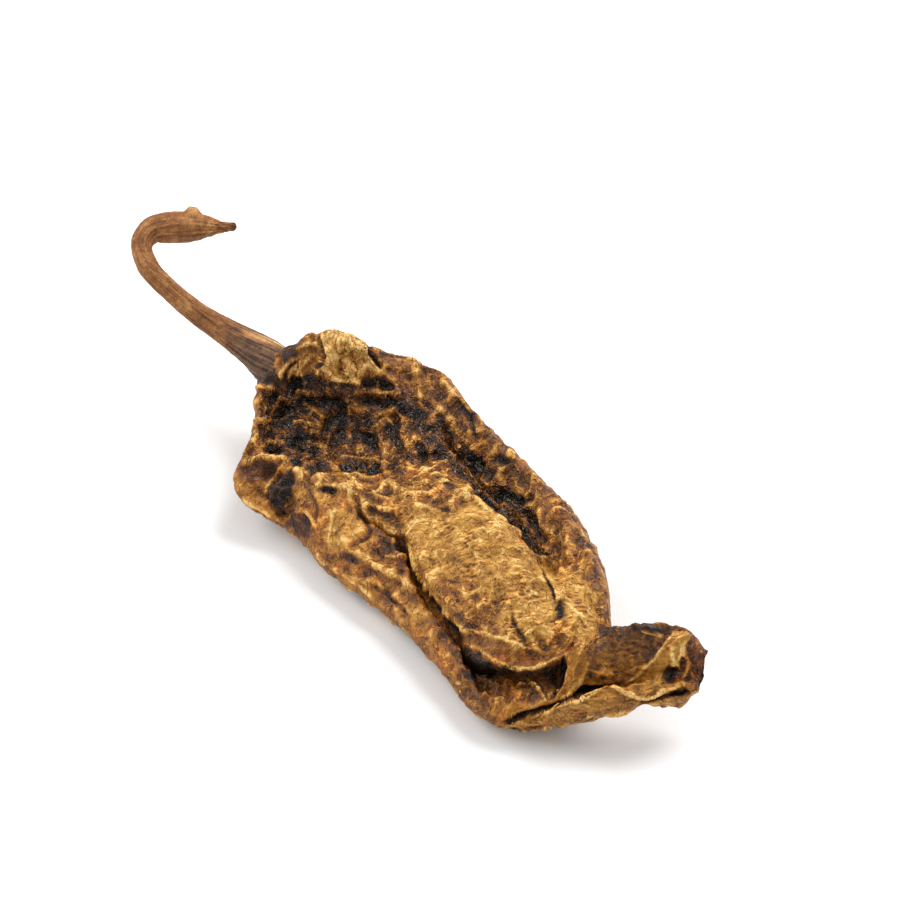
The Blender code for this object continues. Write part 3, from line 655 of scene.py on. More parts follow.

# Crease tones are mostly painted light and shade: lighter along lit crests and folds, darker in cracks,
# creases and dips.
CREASES = {
    "fold of the near lobe": Crease(0.4, 0.16, 0.16, (
        (241, 466), (248, 461), (259, 457), (272, 458), (286, 460), (294, 466),
    )),
    "rib of the near lobe": Crease(0.35, 0.17, 0.16, ((284, 464), (275, 475), (268, 486), (265, 498))),
    # A painted glint: a pale fleck of highlight on the near lobe.
    "painted glint on the near lobe": Crease(0.3, 0.2, 0.6, ((293, 468), (298, 473), (304, 478))),
    "first pleat": Crease(0.4, 0.21, 0.26, ((281, 382), (282, 374), (286, 367), (293, 360), (302, 354))),
    "second pleat": Crease(0.45, 0.19, 0.26, ((294, 352), (300, 347), (310, 344), (320, 345))),
    "fourth pleat": Crease(0.3, 0.16, 0.2, ((288, 383), (290, 375), (296, 366), (304, 359))),
    "gap between the pleats": Crease(-0.25, 0.16, -0.2, ((285, 383), (286, 374), (291, 366), (298, 359))),
    "third pleat": Crease(0.3, 0.17, 0.22, ((296, 378), (300, 368), (308, 359), (317, 353))),
    "split of the shoulder lump": Crease(-0.4, 0.19, -0.25, (
        (321, 338), (323, 350), (322, 362), (314, 372),
    )),
    "facet of the shoulder lump": Crease(0.35, 0.17, 0.14, (
        (332, 331), (346, 335), (350, 347), (343, 364),
    )),
    "fold of the shoulder lump": Crease(0.35, 0.17, 0.14, (
        (323, 333), (326, 346), (331, 358), (329, 368),
    )),
    "second facet of the shoulder lump": Crease(0.3, 0.16, 0.12, ((345, 342), (353, 348), (363, 352))),
    "dark crease of the shoulder lump": Crease(-0.3, 0.16, -0.2, ((341, 356), (340, 366), (342, 377))),
    "second dark crease of the shoulder lump": Crease(-0.3, 0.16, -0.2, (
        (354, 360), (357, 369), (354, 378),
    )),
    "third short fold of the shoulder lump": Crease(0.3, 0.16, 0.14, (
        (359, 358), (364, 367), (362, 377),
    )),
    "far facet of the shoulder lump": Crease(0.5, 0.2, 0.16, ((355, 341), (365, 354), (375, 370))),
    "lower edge of the shoulder lump": Crease(0.5, 0.21, 0.13, (
        (330, 377), (338, 381), (350, 381), (360, 382), (371, 378), (382, 375),
    )),
    "crease behind the shoulder lump": Crease(-0.4, 0.24, -0.16, (
        (360, 342), (368, 352), (376, 360), (383, 372),
    )),
    "crest of the far roll": Crease(0.3, 0.36, 0.08, (
        (437, 376), (450, 389), (462, 403), (470, 419), (480, 436),
    )),
    "crease of the far roll": Crease(-0.35, 0.24, -0.3, (
        (452, 394), (461, 404), (468, 416), (474, 430), (479, 442),
    )),
    "inner edge of the far roll": Crease(0.3, 0.36, 0.1, (
        (408, 392), (425, 398), (440, 410), (452, 424), (462, 438), (474, 450),
    )),
    "near wall": Crease(0.4, 0.22, 0.11, ((257, 392), (257, 404), (256, 418), (255, 434), (250, 448))),
    "crack behind the near lobe": Crease(-0.25, 0.22, -0.12, (
        (300, 480), (310, 494), (316, 510), (314, 528),
    )),
    "border of the panel": Crease(0.3, 0.22, 0.08, (
        (305, 479), (322, 485), (338, 486), (357, 494), (369, 504), (387, 509), (405, 507),
    )),
    "dark bank of the panel": Crease(-0.25, 0.3, -0.15, ((366, 508), (380, 514), (394, 519), (406, 530))),
    "hem of the flank lump": Crease(-0.25, 0.22, -0.16, (
        (356, 510), (366, 523), (369, 532), (362, 541), (350, 546),
    )),
    "rib of the near flank": Crease(0.3, 0.36, 0.04, (
        (343, 554), (357, 551), (366, 558), (380, 568), (394, 575), (409, 585), (423, 597),
    )),
    "dip of the near flank": Crease(-0.2, 0.26, -0.06, ((368, 582), (384, 592), (398, 606), (412, 620))),
    "edge of the panel": Crease(0.3, 0.16, 0.16, (
        (406, 534), (413, 556), (417, 574), (424, 587), (433, 600), (451, 621), (466, 631),
    )),
    "crack beside the panel": Crease(-0.5, 0.17, -0.6, (
        (410, 570), (421, 585), (430, 598), (440, 611), (452, 627), (466, 643),
    )),
    "near bank of the far groove": Crease(-0.8, 0.34, -0.5, (
        (466, 485), (483, 497), (500, 510), (512, 520), (524, 531), (534, 546), (545, 560),
    )),
    "crack between the panels": Crease(-0.4, 0.16, -0.5, (
        (542, 566), (546, 577), (551, 588), (555, 602),
    )),
    "foot of the panel": Crease(0.22, 0.16, 0.1, (
        (452, 631), (471, 631), (496, 637), (521, 646), (543, 652),
    )),
    "streak in the panel": Crease(-0.2, 0.24, -0.28, (
        (511, 611), (513, 620), (517, 628), (522, 636), (527, 645),
    )),
    "front lip": Crease(0.25, 0.16, 0.1, (
        (464, 643), (476, 647), (485, 653), (494, 660), (506, 666), (524, 669), (538, 667), (552, 660),
        (572, 653),
    )),
    "crest of the bend": Crease(0.15, 0.26, 0.02, (
        (590, 656), (586, 670), (578, 684), (566, 698), (552, 706),
    )),
    "shade beside the bend": Crease(-0.4, 0.17, -0.45, (
        (563, 654), (563, 668), (561, 682), (555, 694), (549, 702),
    )),
    "fold in the front hollow": Crease(0.4, 0.17, 0.12, (
        (515, 690), (524, 685), (533, 685), (541, 693), (548, 705),
    )),
    "crease of the folded end": Crease(-0.9, 0.22, -0.6, (
        (497, 726), (511, 721), (524, 715), (540, 711), (553, 707), (566, 700), (576, 695), (595, 689),
        (620, 684),
    )),
    "upper edge of the near wall": Crease(0.4, 0.19, 0.15, (
        (519, 724), (533, 717), (553, 709), (567, 703), (581, 700), (592, 693), (600, 689), (614, 687),
        (626, 693), (637, 697), (654, 697), (665, 691), (679, 687), (693, 684),
    )),
    "lower lip of the open end": Crease(0.35, 0.19, 0.12, (
        (640, 707), (664, 706), (684, 703), (698, 692),
    )),
    "torn edge of the open end": Crease(0.35, 0.19, 0.22, (
        (680, 642), (683, 652), (688, 660), (686, 672), (684, 682),
    )),
    "fold in the open end": Crease(0.3, 0.17, 0.14, ((671, 650), (674, 660), (681, 667))),
    "rim of the flap": Crease(0.2, 0.46, -0.32, (
        (597, 642), (610, 631), (622, 624), (640, 626), (658, 630), (676, 632),
    )),
    "pale line under the flap's rim": Crease(0.2, 0.16, 0.3, ((640, 628), (654, 635), (665, 637))),
    "upper edge of the slanting fold": Crease(0.3, 0.17, 0.12, (
        (678, 629), (665, 645), (654, 659), (637, 676), (620, 686),
    )),
    "lower edge of the slanting fold": Crease(0.25, 0.17, 0.09, (
        (690, 636), (679, 656), (671, 670), (665, 682),
    )),
    "ledge in the dark hollow": Crease(0.5, 0.19, 0.15, (
        (336, 466), (341, 461), (350, 459), (362, 460), (376, 462), (392, 466),
    )),
    "first loop of the wrinkles": Crease(0.45, 0.17, 0.17, (
        (374, 422), (378, 415), (386, 412), (395, 412), (402, 418), (399, 427),
    )),
    "second loop of the wrinkles": Crease(0.4, 0.16, 0.15, (
        (370, 431), (378, 424), (386, 420), (393, 424), (390, 432),
    )),
    "ridge by the near wall": Crease(0.45, 0.21, 0.16, ((286, 394), (278, 402), (272, 411), (269, 426))),
    "ridge under the near wall": Crease(0.45, 0.21, 0.18, (
        (263, 448), (269, 443), (278, 441), (289, 442),
    )),
    "ridge past the shoulder lump": Crease(0.5, 0.26, 0.19, (
        (350, 396), (362, 392), (378, 393), (392, 393), (407, 397),
    )),
    "ridge amid the wrinkles": Crease(0.35, 0.16, 0.2, ((331, 433), (328, 441), (325, 450))),
    "ridge under the stem": Crease(0.5, 0.22, 0.16, (
        (299, 399), (307, 405), (315, 410), (325, 417), (334, 415),
    )),
    "light line behind the near lobe": Crease(0.35, 0.16, 0.3, ((305, 510), (310, 518), (317, 528))),
    "first curl in the hollow": Crease(0.35, 0.16, 0.21, ((292, 420), (298, 423), (305, 421))),
    "second curl in the hollow": Crease(0.35, 0.16, 0.17, ((303, 430), (309, 434), (319, 435))),
    "gold under the collar": Crease(0.4, 0.22, 0.15, ((256, 390), (263, 387), (270, 387), (278, 390))),
    "first short fold of the shoulder lump": Crease(0.3, 0.16, 0.14, (
        (337, 352), (334, 362), (337, 374),
    )),
    "second short fold of the shoulder lump": Crease(0.3, 0.16, 0.14, (
        (348, 356), (350, 366), (346, 378),
    )),
    "lower edge of the near lobe": Crease(0.25, 0.22, 0.13, (
        (240, 497), (250, 505), (262, 511), (276, 520),
    )),
    "split in the flank lump": Crease(-0.15, 0.16, -0.12, ((346, 521), (340, 529), (331, 538))),
    "facet of the flank lump": Crease(0.12, 0.16, 0.05, ((336, 506), (332, 520), (330, 534), (332, 546))),
    "ridge in the valley": Crease(0.4, 0.21, 0.13, ((361, 498), (370, 515), (388, 527), (405, 536))),
    "curl in the valley": Crease(0.3, 0.16, 0.15, ((384, 555), (392, 556), (403, 556), (408, 562))),
    "rim of the near flank": Crease(0.15, 0.3, 0.03, (
        (299, 538), (308, 549), (318, 558), (337, 571), (360, 586), (378, 604), (390, 614),
    )),
}


# The pod

@dataclass
class FormGrid:
    """The pod's form as rows of rings.

    points is rows × ring × 3. upper and lower are rows × ring: 1 on those faces of the flattened pod and 0
    at its two edges.
    """

    points: np.ndarray
    upper: np.ndarray
    lower: np.ndarray


@dataclass
class PodForm:
    """The pod's form by the same sums as the solid's, on a grid as fine as is asked for.

    Rows lie closer together round lip_place and at the stem's end, and the steps of a ring are gathered where
    a degree covers the most skin. The wall under the front lip leans out by overhang, less towards the lip's
    far end, and the crack beside the panel slants by crack_slant. Lengths are in millimetres.
    """

    rows: int = 440
    upper_steps: int = 172
    lower_steps: int = 48
    lip_place: float = 50.0
    lip_reach: float = 7.0
    lip_density: float = 0.7
    stem_reach: float = 2.0
    stem_density: float = 1.2
    gather: float = 0.35
    edge_share: float = 0.45
    overhang: float = 1.6
    overhang_start: float = 0.3
    overhang_reach: float = 3.2
    overhang_loss: float = 0.75
    loss_start: float = 0.35
    loss_length: float = 0.5
    crack_slant: float = 1.1
    crack_reach: float = 0.7
    crack_fade: float = 0.2

    def row_places(self) -> np.ndarray:
        """Places along the pod, closest together at the front lip and the stem's end."""
        fine = np.linspace(SECTIONS[0].along, SECTIONS[-1].along, 2000)
        density = 1.0 + self.lip_density * np.exp(-(((fine - self.lip_place) / self.lip_reach) ** 2))
        density = density + self.stem_density * np.exp(-((fine / self.stem_reach) ** 2))
        share = np.concatenate([[0.0], np.cumsum(density[1:])])
        return np.interp(np.linspace(0.0, share[-1], self.rows), share, fine)

    def turns(self) -> np.ndarray:
        """Angles round a ring in degrees, 0 at the far edge, 90 on top and 180 at the near edge.

        The steps are drawn together at 90° and 270°.
        """
        turns = np.concatenate([
            np.linspace(0.0, 180.0, self.upper_steps, endpoint=False),
            np.linspace(180.0, 360.0, self.lower_steps, endpoint=False),
        ])
        return turns + self.gather * np.degrees(np.sin(2.0 * np.radians(turns)) / 2.0)

    def net(self, along: np.ndarray, around: np.ndarray) -> np.ndarray:
        """Raised net: families of wavy lines, of which the highest counts at each place."""
        reach, across_bend, along_bend = NET_BEND_ALONG
        bent_along = along + reach * np.sin(across_bend * around + along_bend * along)
        reach, across_bend, along_bend = NET_BEND_AROUND
        bent_around = around + reach * np.sin(across_bend * along + along_bend * around)
        net = np.zeros(np.broadcast(along, around).shape)
        for turn, spacing in NET_FAMILIES:
            cos, sin = math.cos(math.radians(turn)), math.sin(math.radians(turn))
            stripe = (bent_along * cos + bent_around * sin) / (NET_SPACING * spacing)
            net = np.maximum(net, 1.0 - np.abs(np.sin(math.pi * stripe)))
        return net ** 2

    def lean(self, x: np.ndarray, y: np.ndarray, upper: np.ndarray, hollow: np.ndarray) -> np.ndarray:
        """How far each place is pushed away from the camera, under the front lip and in the crack."""
        lip, lip_along = distance_to_line(x, y, LIP_LINE)
        crack, crack_along = distance_to_line(x, y, CRACK_LINE)
        lean = self.overhang * hollow * (1.0 - smooth_step((lip - self.overhang_start) / self.overhang_reach))
        loss = smooth_step((lip_along - self.loss_start) / self.loss_length)
        lean = lean * (1.0 - self.overhang_loss * loss)
        ends = smooth_step(crack_along / self.crack_fade) * smooth_step((1.0 - crack_along) / self.crack_fade)
        slant = self.crack_slant * upper * ends * np.exp(-((crack / self.crack_reach) ** 2))
        return lean + slant * (1.0 - hollow)

    def grid(self, away: np.ndarray) -> FormGrid:
        """Work out the rows.

        Args:
            away: the plan direction away from the camera, which the wall under the front lip leans along.

        Returns:
            The pod's form without its finest relief.
        """
        knots = np.array([section.along for section in SECTIONS])
        places, turns = self.row_places(), self.turns()
        near, far, top, low = (
            curve_through(knots, np.array([getattr(section, name) for section in SECTIONS]), places)
            for name in ("near", "far", "top", "low")
        )

        ring_knots = np.array([-60.0, 0.0, 60.0, 90.0, 120.0, 180.0, 240.0, 270.0, 300.0, 360.0, 420.0])
        heights = np.stack([
            low[:, 0], far[:, 2], top[:, 0], top[:, 1], top[:, 2],
            near[:, 2], low[:, 2], low[:, 1], low[:, 0], far[:, 2], top[:, 0],
        ])
        z = curve_through(ring_knots, heights, turns).T

        across = (1.0 - np.cos(np.radians(turns))) / 2.0
        x = far[:, :1] + (near[:, :1] - far[:, :1]) * across
        y = far[:, 1:2] + (near[:, 1:2] - far[:, 1:2]) * across
        upper = np.broadcast_to(smooth_step(np.sin(np.radians(turns)) / self.edge_share), x.shape)
        lower = np.broadcast_to(smooth_step(-np.sin(np.radians(turns)) / self.edge_share), x.shape)
        width = np.hypot(near[:, 0] - far[:, 0], near[:, 1] - far[:, 1])[:, None]
        along = np.broadcast_to(places[:, None], x.shape)
        around = width * np.radians(turns) / 2.0

        z = z + upper * sum(feature.lift(x, y) for feature in (*FOLDS.values(), *LUMPS.values()))
        inside = inside_outline(x, y, HOLLOW_OUTLINE)
        hollow = smooth_step(0.5 + inside / HOLLOW_EDGE) * upper
        z = z + hollow * (np.interp(x, HOLLOW_FLOOR_SPAN, HOLLOW_FLOOR) - z)
        z = z + (self.net(along, around) - NET_MIDDLE) * (NET_HEIGHT * upper - NET_HEIGHT_BELOW * lower)

        lean = self.lean(x, y, upper, hollow)
        x, y = x + away[0] * lean, y + away[1] * lean
        return FormGrid(np.stack([x, y, z], axis=-1), upper, lower)


def grid_normals(points: np.ndarray) -> np.ndarray:
    """Unit normals of a grid of rings that close on themselves, pointing out of the pod."""
    down = np.gradient(points, axis=0)
    round_ring = np.roll(points, -1, axis=1) - np.roll(points, 1, axis=1)
    normals = np.cross(round_ring, down)
    return normals / np.maximum(np.linalg.norm(normals, axis=-1, keepdims=True), 1e-9)


def local_mean(field: np.ndarray, reach: int) -> np.ndarray:
    """Blur a grid of rings by averaging it with shifted copies, each shift twice the last, up to reach."""
    step = 1
    while step <= reach:
        field = (np.roll(field, step, axis=1) + 2.0 * field + np.roll(field, -step, axis=1)) / 4.0
        padded = np.pad(field, ((step, step), (0, 0)), mode="edge")
        field = (padded[: -2 * step] + 2.0 * field + padded[2 * step:]) / 4.0
        step *= 2
    return field


def mesh_object(name: str, points: np.ndarray, looks: dict[str, np.ndarray]) -> bpy.types.Object:
    """Skin rows of rings with quads and close both ends on a middle point.

    Args:
        name: the object's name.
        points: rows × ring × 3 places in millimetres, ordered so that the quads face outwards.
        looks: rows × ring × 4 values for the finish to read, by the name of the attribute that keeps them.

    Returns:
        The new object, at the origin.
    """
    rows, ring = points.shape[:2]
    index = np.arange(rows * ring).reshape(rows, ring)
    beside = np.roll(index, -1, axis=1)
    quads = np.stack([index[:-1], beside[:-1], beside[1:], index[1:]], axis=-1).reshape(-1, 4)
    first, last = rows * ring, rows * ring + 1
    fans = [(first, beside[0, step], index[0, step]) for step in range(ring)]
    fans += [(last, index[-1, step], beside[-1, step]) for step in range(ring)]
    middles = np.stack([points[0].mean(axis=0), points[-1].mean(axis=0)])
    places = np.concatenate([points.reshape(-1, 3), middles]) * MM
    mesh = bpy.data.meshes.new(name)
    mesh.from_pydata(places.tolist(), [], quads.tolist() + fans)
    for attribute, look in looks.items():
        values = np.concatenate([look.reshape(-1, 4), look[[0, -1], 0]])
        mesh.attributes.new(attribute, "FLOAT_COLOR", "POINT").data.foreach_set("color", values.ravel())
    mesh.polygons.foreach_set("use_smooth", np.ones(len(mesh.polygons), bool))
    piece = bpy.data.objects.new(name, mesh)
    bpy.context.scene.collection.objects.link(piece)
    return piece


@dataclass(frozen=True)
class PaintedReliefShading:
    """Painted light and shade from the relief, with some of the paler wear of dried crests: crests are
    painted lighter and hollows darker.

    Each reach is how far the skin is blurred to find what stands out from it, each rise is the height in
    millimetres that counts in full, and each amount is the most that it changes the tone. Skin that is more
    crumpled has lighter crests. Dark skin, below dark_tone, gets the share dark_contrast of it all.
    """

    reach: int = 4
    rise: float = 0.16
    amount: float = 0.15
    crest_start: float = 0.02
    crest_rise: float = 0.12
    crest_amount: float = 0.20
    crest_middle: float = 0.3
    crumple_offset: float = 0.2
    crumple_least: float = 0.3
    broad_reach: int = 16
    broad_rise: float = 0.5
    broad_amount: float = 0.12
    dark_contrast: float = 0.60
    dark_tone: float = 0.30
    dark_fade: float = 0.30

    def change(self, relief: np.ndarray, maps: dict[str, np.ndarray]) -> np.ndarray:
        """The change of tone at each place: painted light on crests and painted shade in hollows."""
        raised = relief - local_mean(relief, self.reach)
        crest = smooth_step((raised - self.crest_start) / self.crest_rise) - self.crest_middle
        broad = relief - local_mean(relief, self.broad_reach)
        change = self.amount * np.clip(raised / self.rise, -1.0, 1.0)
        creased = np.clip(maps["crumple"] + self.crumple_offset, self.crumple_least, 1.0)
        change += self.crest_amount * crest * creased
        change += self.broad_amount * np.clip(broad / self.broad_rise, -1.0, 1.0)
        light = smooth_step((maps["tone"] - self.dark_tone) / self.dark_fade)
        return (self.dark_contrast + (1.0 - self.dark_contrast) * light) * change


# Rows that turn each end's rim into the pod: the share of the rim's size, and the depth in millimetres. Each
# cup's tone is multiplied by its shade factor, as painted shade inside the end.
STEM_CUP = ((0.86, 2.0), (0.86, 1.2), (0.88, 0.5), (0.93, 0.12))
STEM_CUP_INWARD = (1.0, 0.0, -0.1)
STEM_CUP_SHADE = 0.4
TIP_CUP = ((0.90, 0.05), (0.82, 0.5), (0.74, 1.2), (0.55, 1.9))
TIP_CUP_INWARD = (-0.75, -0.55, -0.2)
TIP_CUP_SHADE = 0.5


@dataclass
class PodSkin:
    """The pod: its form, the relief laid over it, and how light and glossy each place is.

    Heights and sizes are in millimetres. Noise bends the wrinkles at two sizes, each given as the noise's
    size and its reach, and makes the outlines of patches, creases and blots ragged by a reach in photograph
    pixels. Each edge says where easing from 0 to 1 starts, and over how much: camera_edge reads how far the
    skin faces the camera, and steep_edge how far it faces up.
    """

    form: PodForm
    viewpoint: Viewpoint
    shade: PaintedReliefShading = PaintedReliefShading()
    pixels_to_mm: float = 1.0 / 8.9
    crumple_height: float = 0.44
    crumple_size: float = 3.0
    fold_height: float = 0.80
    fold_size: float = 2.2
    fine_height: float = 0.34
    fine_size: float = 1.05
    striae_height: float = 0.11
    striae_size: Point3 = (2.0, 0.62, 1.4)
    broad_height: float = 0.25
    broad_size: float = 7.0
    bend: Point2 = (4.0, 1.6)
    small_bend: Point2 = (1.1, 0.35)
    ragged_size: float = 1.5
    patch_reach: float = 6.0
    crease_reach: float = 1.6
    blot_share: float = 0.6
    side_share: float = 0.75
    camera_edge: Point2 = (-0.35, 0.3)
    steep_edge: Point2 = (0.15, 0.4)
    steep_loss: float = 0.7
    tone_range: Point2 = (0.10, 0.95)
    cloud_size: float = 3.0
    cloud_amount: float = 0.05

    def skin_values(self, px: np.ndarray, py: np.ndarray, seen: np.ndarray) -> dict[str, np.ndarray]:
        """Blend the patches into one map for each of their values.

        Args:
            px: where each place falls across the photograph.
            py: where it falls down the photograph.
            seen: 1 where the patches count, 0 where the photograph doesn't show the skin.

        Returns:
            Maps named for Skin's fields.
        """
        names = ("tone", "red", "gloss", "crumple", "striae")
        maps = {name: np.full(px.shape, getattr(BARE_SKIN, name)) for name in names}
        for patch in PATCHES.values():
            cover = patch.cover(px, py) * seen
            for name in names:
                maps[name] += cover * (getattr(patch.skin, name) - maps[name])
        return maps

    def wrinkles(self, points: np.ndarray, maps: dict[str, np.ndarray]) -> np.ndarray:
        """Height of the skin's own relief: creased wrinkles of three sizes, striae and a broad swell."""
        size, reach = self.bend
        bent = points + reach * np.stack([Grain(seed).wave(points / size) for seed in (31, 32, 33)], axis=-1)
        size, reach = self.small_bend
        push = np.stack([Grain(seed).wave(points / size) for seed in (34, 35, 36)], axis=-1)
        small_bent = bent + reach * push
        relief = self.crumple_height * (Grain(41).ridges(bent / self.crumple_size, 1) - RIDGES_MEAN)
        relief += self.fold_height * (Grain(51).dimples(small_bent / self.fold_size) - DIMPLES_MEAN)
        relief += self.fine_height * (Grain(61).dimples(small_bent / self.fine_size) - DIMPLES_MEAN)
        relief *= maps["crumple"]

        right, _, _ = self.viewpoint.directions()
        run = bent @ right
        cross = bent @ np.array([-right[1], right[0], 0.0])
        stretched = np.stack([run, cross, points[..., 2]], axis=-1) / np.array(self.striae_size)
        striae = Grain(71).dimples(stretched) - DIMPLES_MEAN
        broad = Grain(81).cloud(points / self.broad_size, 2) * self.broad_height
        return relief + maps["striae"] * self.striae_height * striae + broad

    def end_cup(self, row: np.ndarray, inward: Point3, steps: tuple[Point2, ...]) -> np.ndarray:
        """Rows that turn a ring's rim into the pod, each given as a size and a depth in millimetres."""
        middle = row.mean(axis=0)
        return np.stack([middle + (row - middle) * size + np.array(inward) * depth for size, depth in steps])

    def build(self) -> bpy.types.Object:
        """Work out the skin and make it a mesh."""
        _, _, back = self.viewpoint.directions()
        grid = self.form.grid(-back[:2] / np.linalg.norm(back[:2]))
        normals = grid_normals(grid.points)
        start, span = self.camera_edge
        seen = smooth_step(self.side_share + (grid.upper - grid.lower))
        seen = seen * smooth_step((normals @ back - start) / span)

        px, py = self.viewpoint.pixels(grid.points)
        rag_x, rag_y = (Grain(seed).cloud(grid.points / self.ragged_size, 3) for seed in (11, 14))
        maps = self.skin_values(px + self.patch_reach * rag_x, py + self.patch_reach * rag_y, seen)

        relief = self.wrinkles(grid.points, maps)
        start, span = self.steep_edge
        relief *= 1.0 - self.steep_loss * seen * (1.0 - smooth_step((normals[..., 2] - start) / span))
        tone = maps["tone"].copy()
        crease_x, crease_y = px + self.crease_reach * rag_x, py + self.crease_reach * rag_y
        # Creases also paint light and shade into the tone: light on crests, shade in cracks, and a painted
        # glint.
        for crease in CREASES.values():
            cover = crease.cover(crease_x, crease_y, self.pixels_to_mm) * seen
            relief += crease.height * cover
            tone += crease.tone * cover
        # Blot tones paint shade into the dents, and one painted glint.
        for blot in BLOTS.values():
            push = min(self.patch_reach, self.blot_share * min(blot.half))
            cover = blot.cover(px + push * rag_x, py + push * rag_y) * seen
            relief -= blot.depth * cover
            tone += blot.tone * cover

        points = grid.points + normals * relief[..., None]
        points[..., 2] = np.maximum(points[..., 2], 0.0)
        # Painted light and shade from the relief join the tone here.
        tone = np.clip(tone, *self.tone_range) + self.shade.change(relief, maps)
        tone = tone + self.cloud_amount * Grain(91).cloud(grid.points / self.cloud_size, 3)

        stem_cup = self.end_cup(points[0], STEM_CUP_INWARD, STEM_CUP)
        tip_cup = self.end_cup(points[-1], TIP_CUP_INWARD, TIP_CUP)
        points = np.concatenate([stem_cup, points, tip_cup])
        look = np.stack([np.clip(tone, 0.0, 1.0), maps["red"], maps["gloss"], maps["striae"]], axis=-1)
        feel = np.repeat(maps["crumple"][..., None], 4, axis=-1)
        cups = ((len(STEM_CUP), len(TIP_CUP)), (0, 0), (0, 0))
        look, feel = np.pad(look, cups, mode="edge"), np.pad(feel, cups, mode="edge")
        # Painted shade: the cups inside both ends are darkened.
        look[:len(STEM_CUP), :, 0] *= STEM_CUP_SHADE
        look[-len(TIP_CUP):, :, 0] *= TIP_CUP_SHADE
        pod = mesh_object("pod_skin", points, {"look": look, "feel": feel})
        log.info("pod skin: %d faces", len(pod.data.polygons))
        return pod


# The stem

# The stem's middle line (x, y, z) and its radius, in millimetres, from its base in the pod to its tip.
STEM_ROUTE = (
    (-29.6, -1.3, 8.1, 2.25),
    (-31.3, -1.5, 8.5, 2.35),
    (-33.9, -2.1, 9.0, 2.00),
    (-36.9, -3.05, 9.6, 1.55),
    (-40.6, -4.65, 10.9, 1.26),
    (-44.2, -6.05, 12.8, 1.12),
    (-47.3, -6.7, 14.6, 1.15),
    (-49.6, -5.8, 16.0, 1.22),
    (-50.1, -4.0, 16.45, 1.50),
    (-49.2, -2.4, 16.6, 1.72),
    (-47.8, -0.9, 16.85, 1.70),
    (-46.6, 0.5, 17.0, 1.35),
    (-45.6, 1.7, 17.0, 0.80),
    (-44.8, 2.8, 17.0, 0.42),
    (-44.3, 3.5, 17.0, 0.40),
)


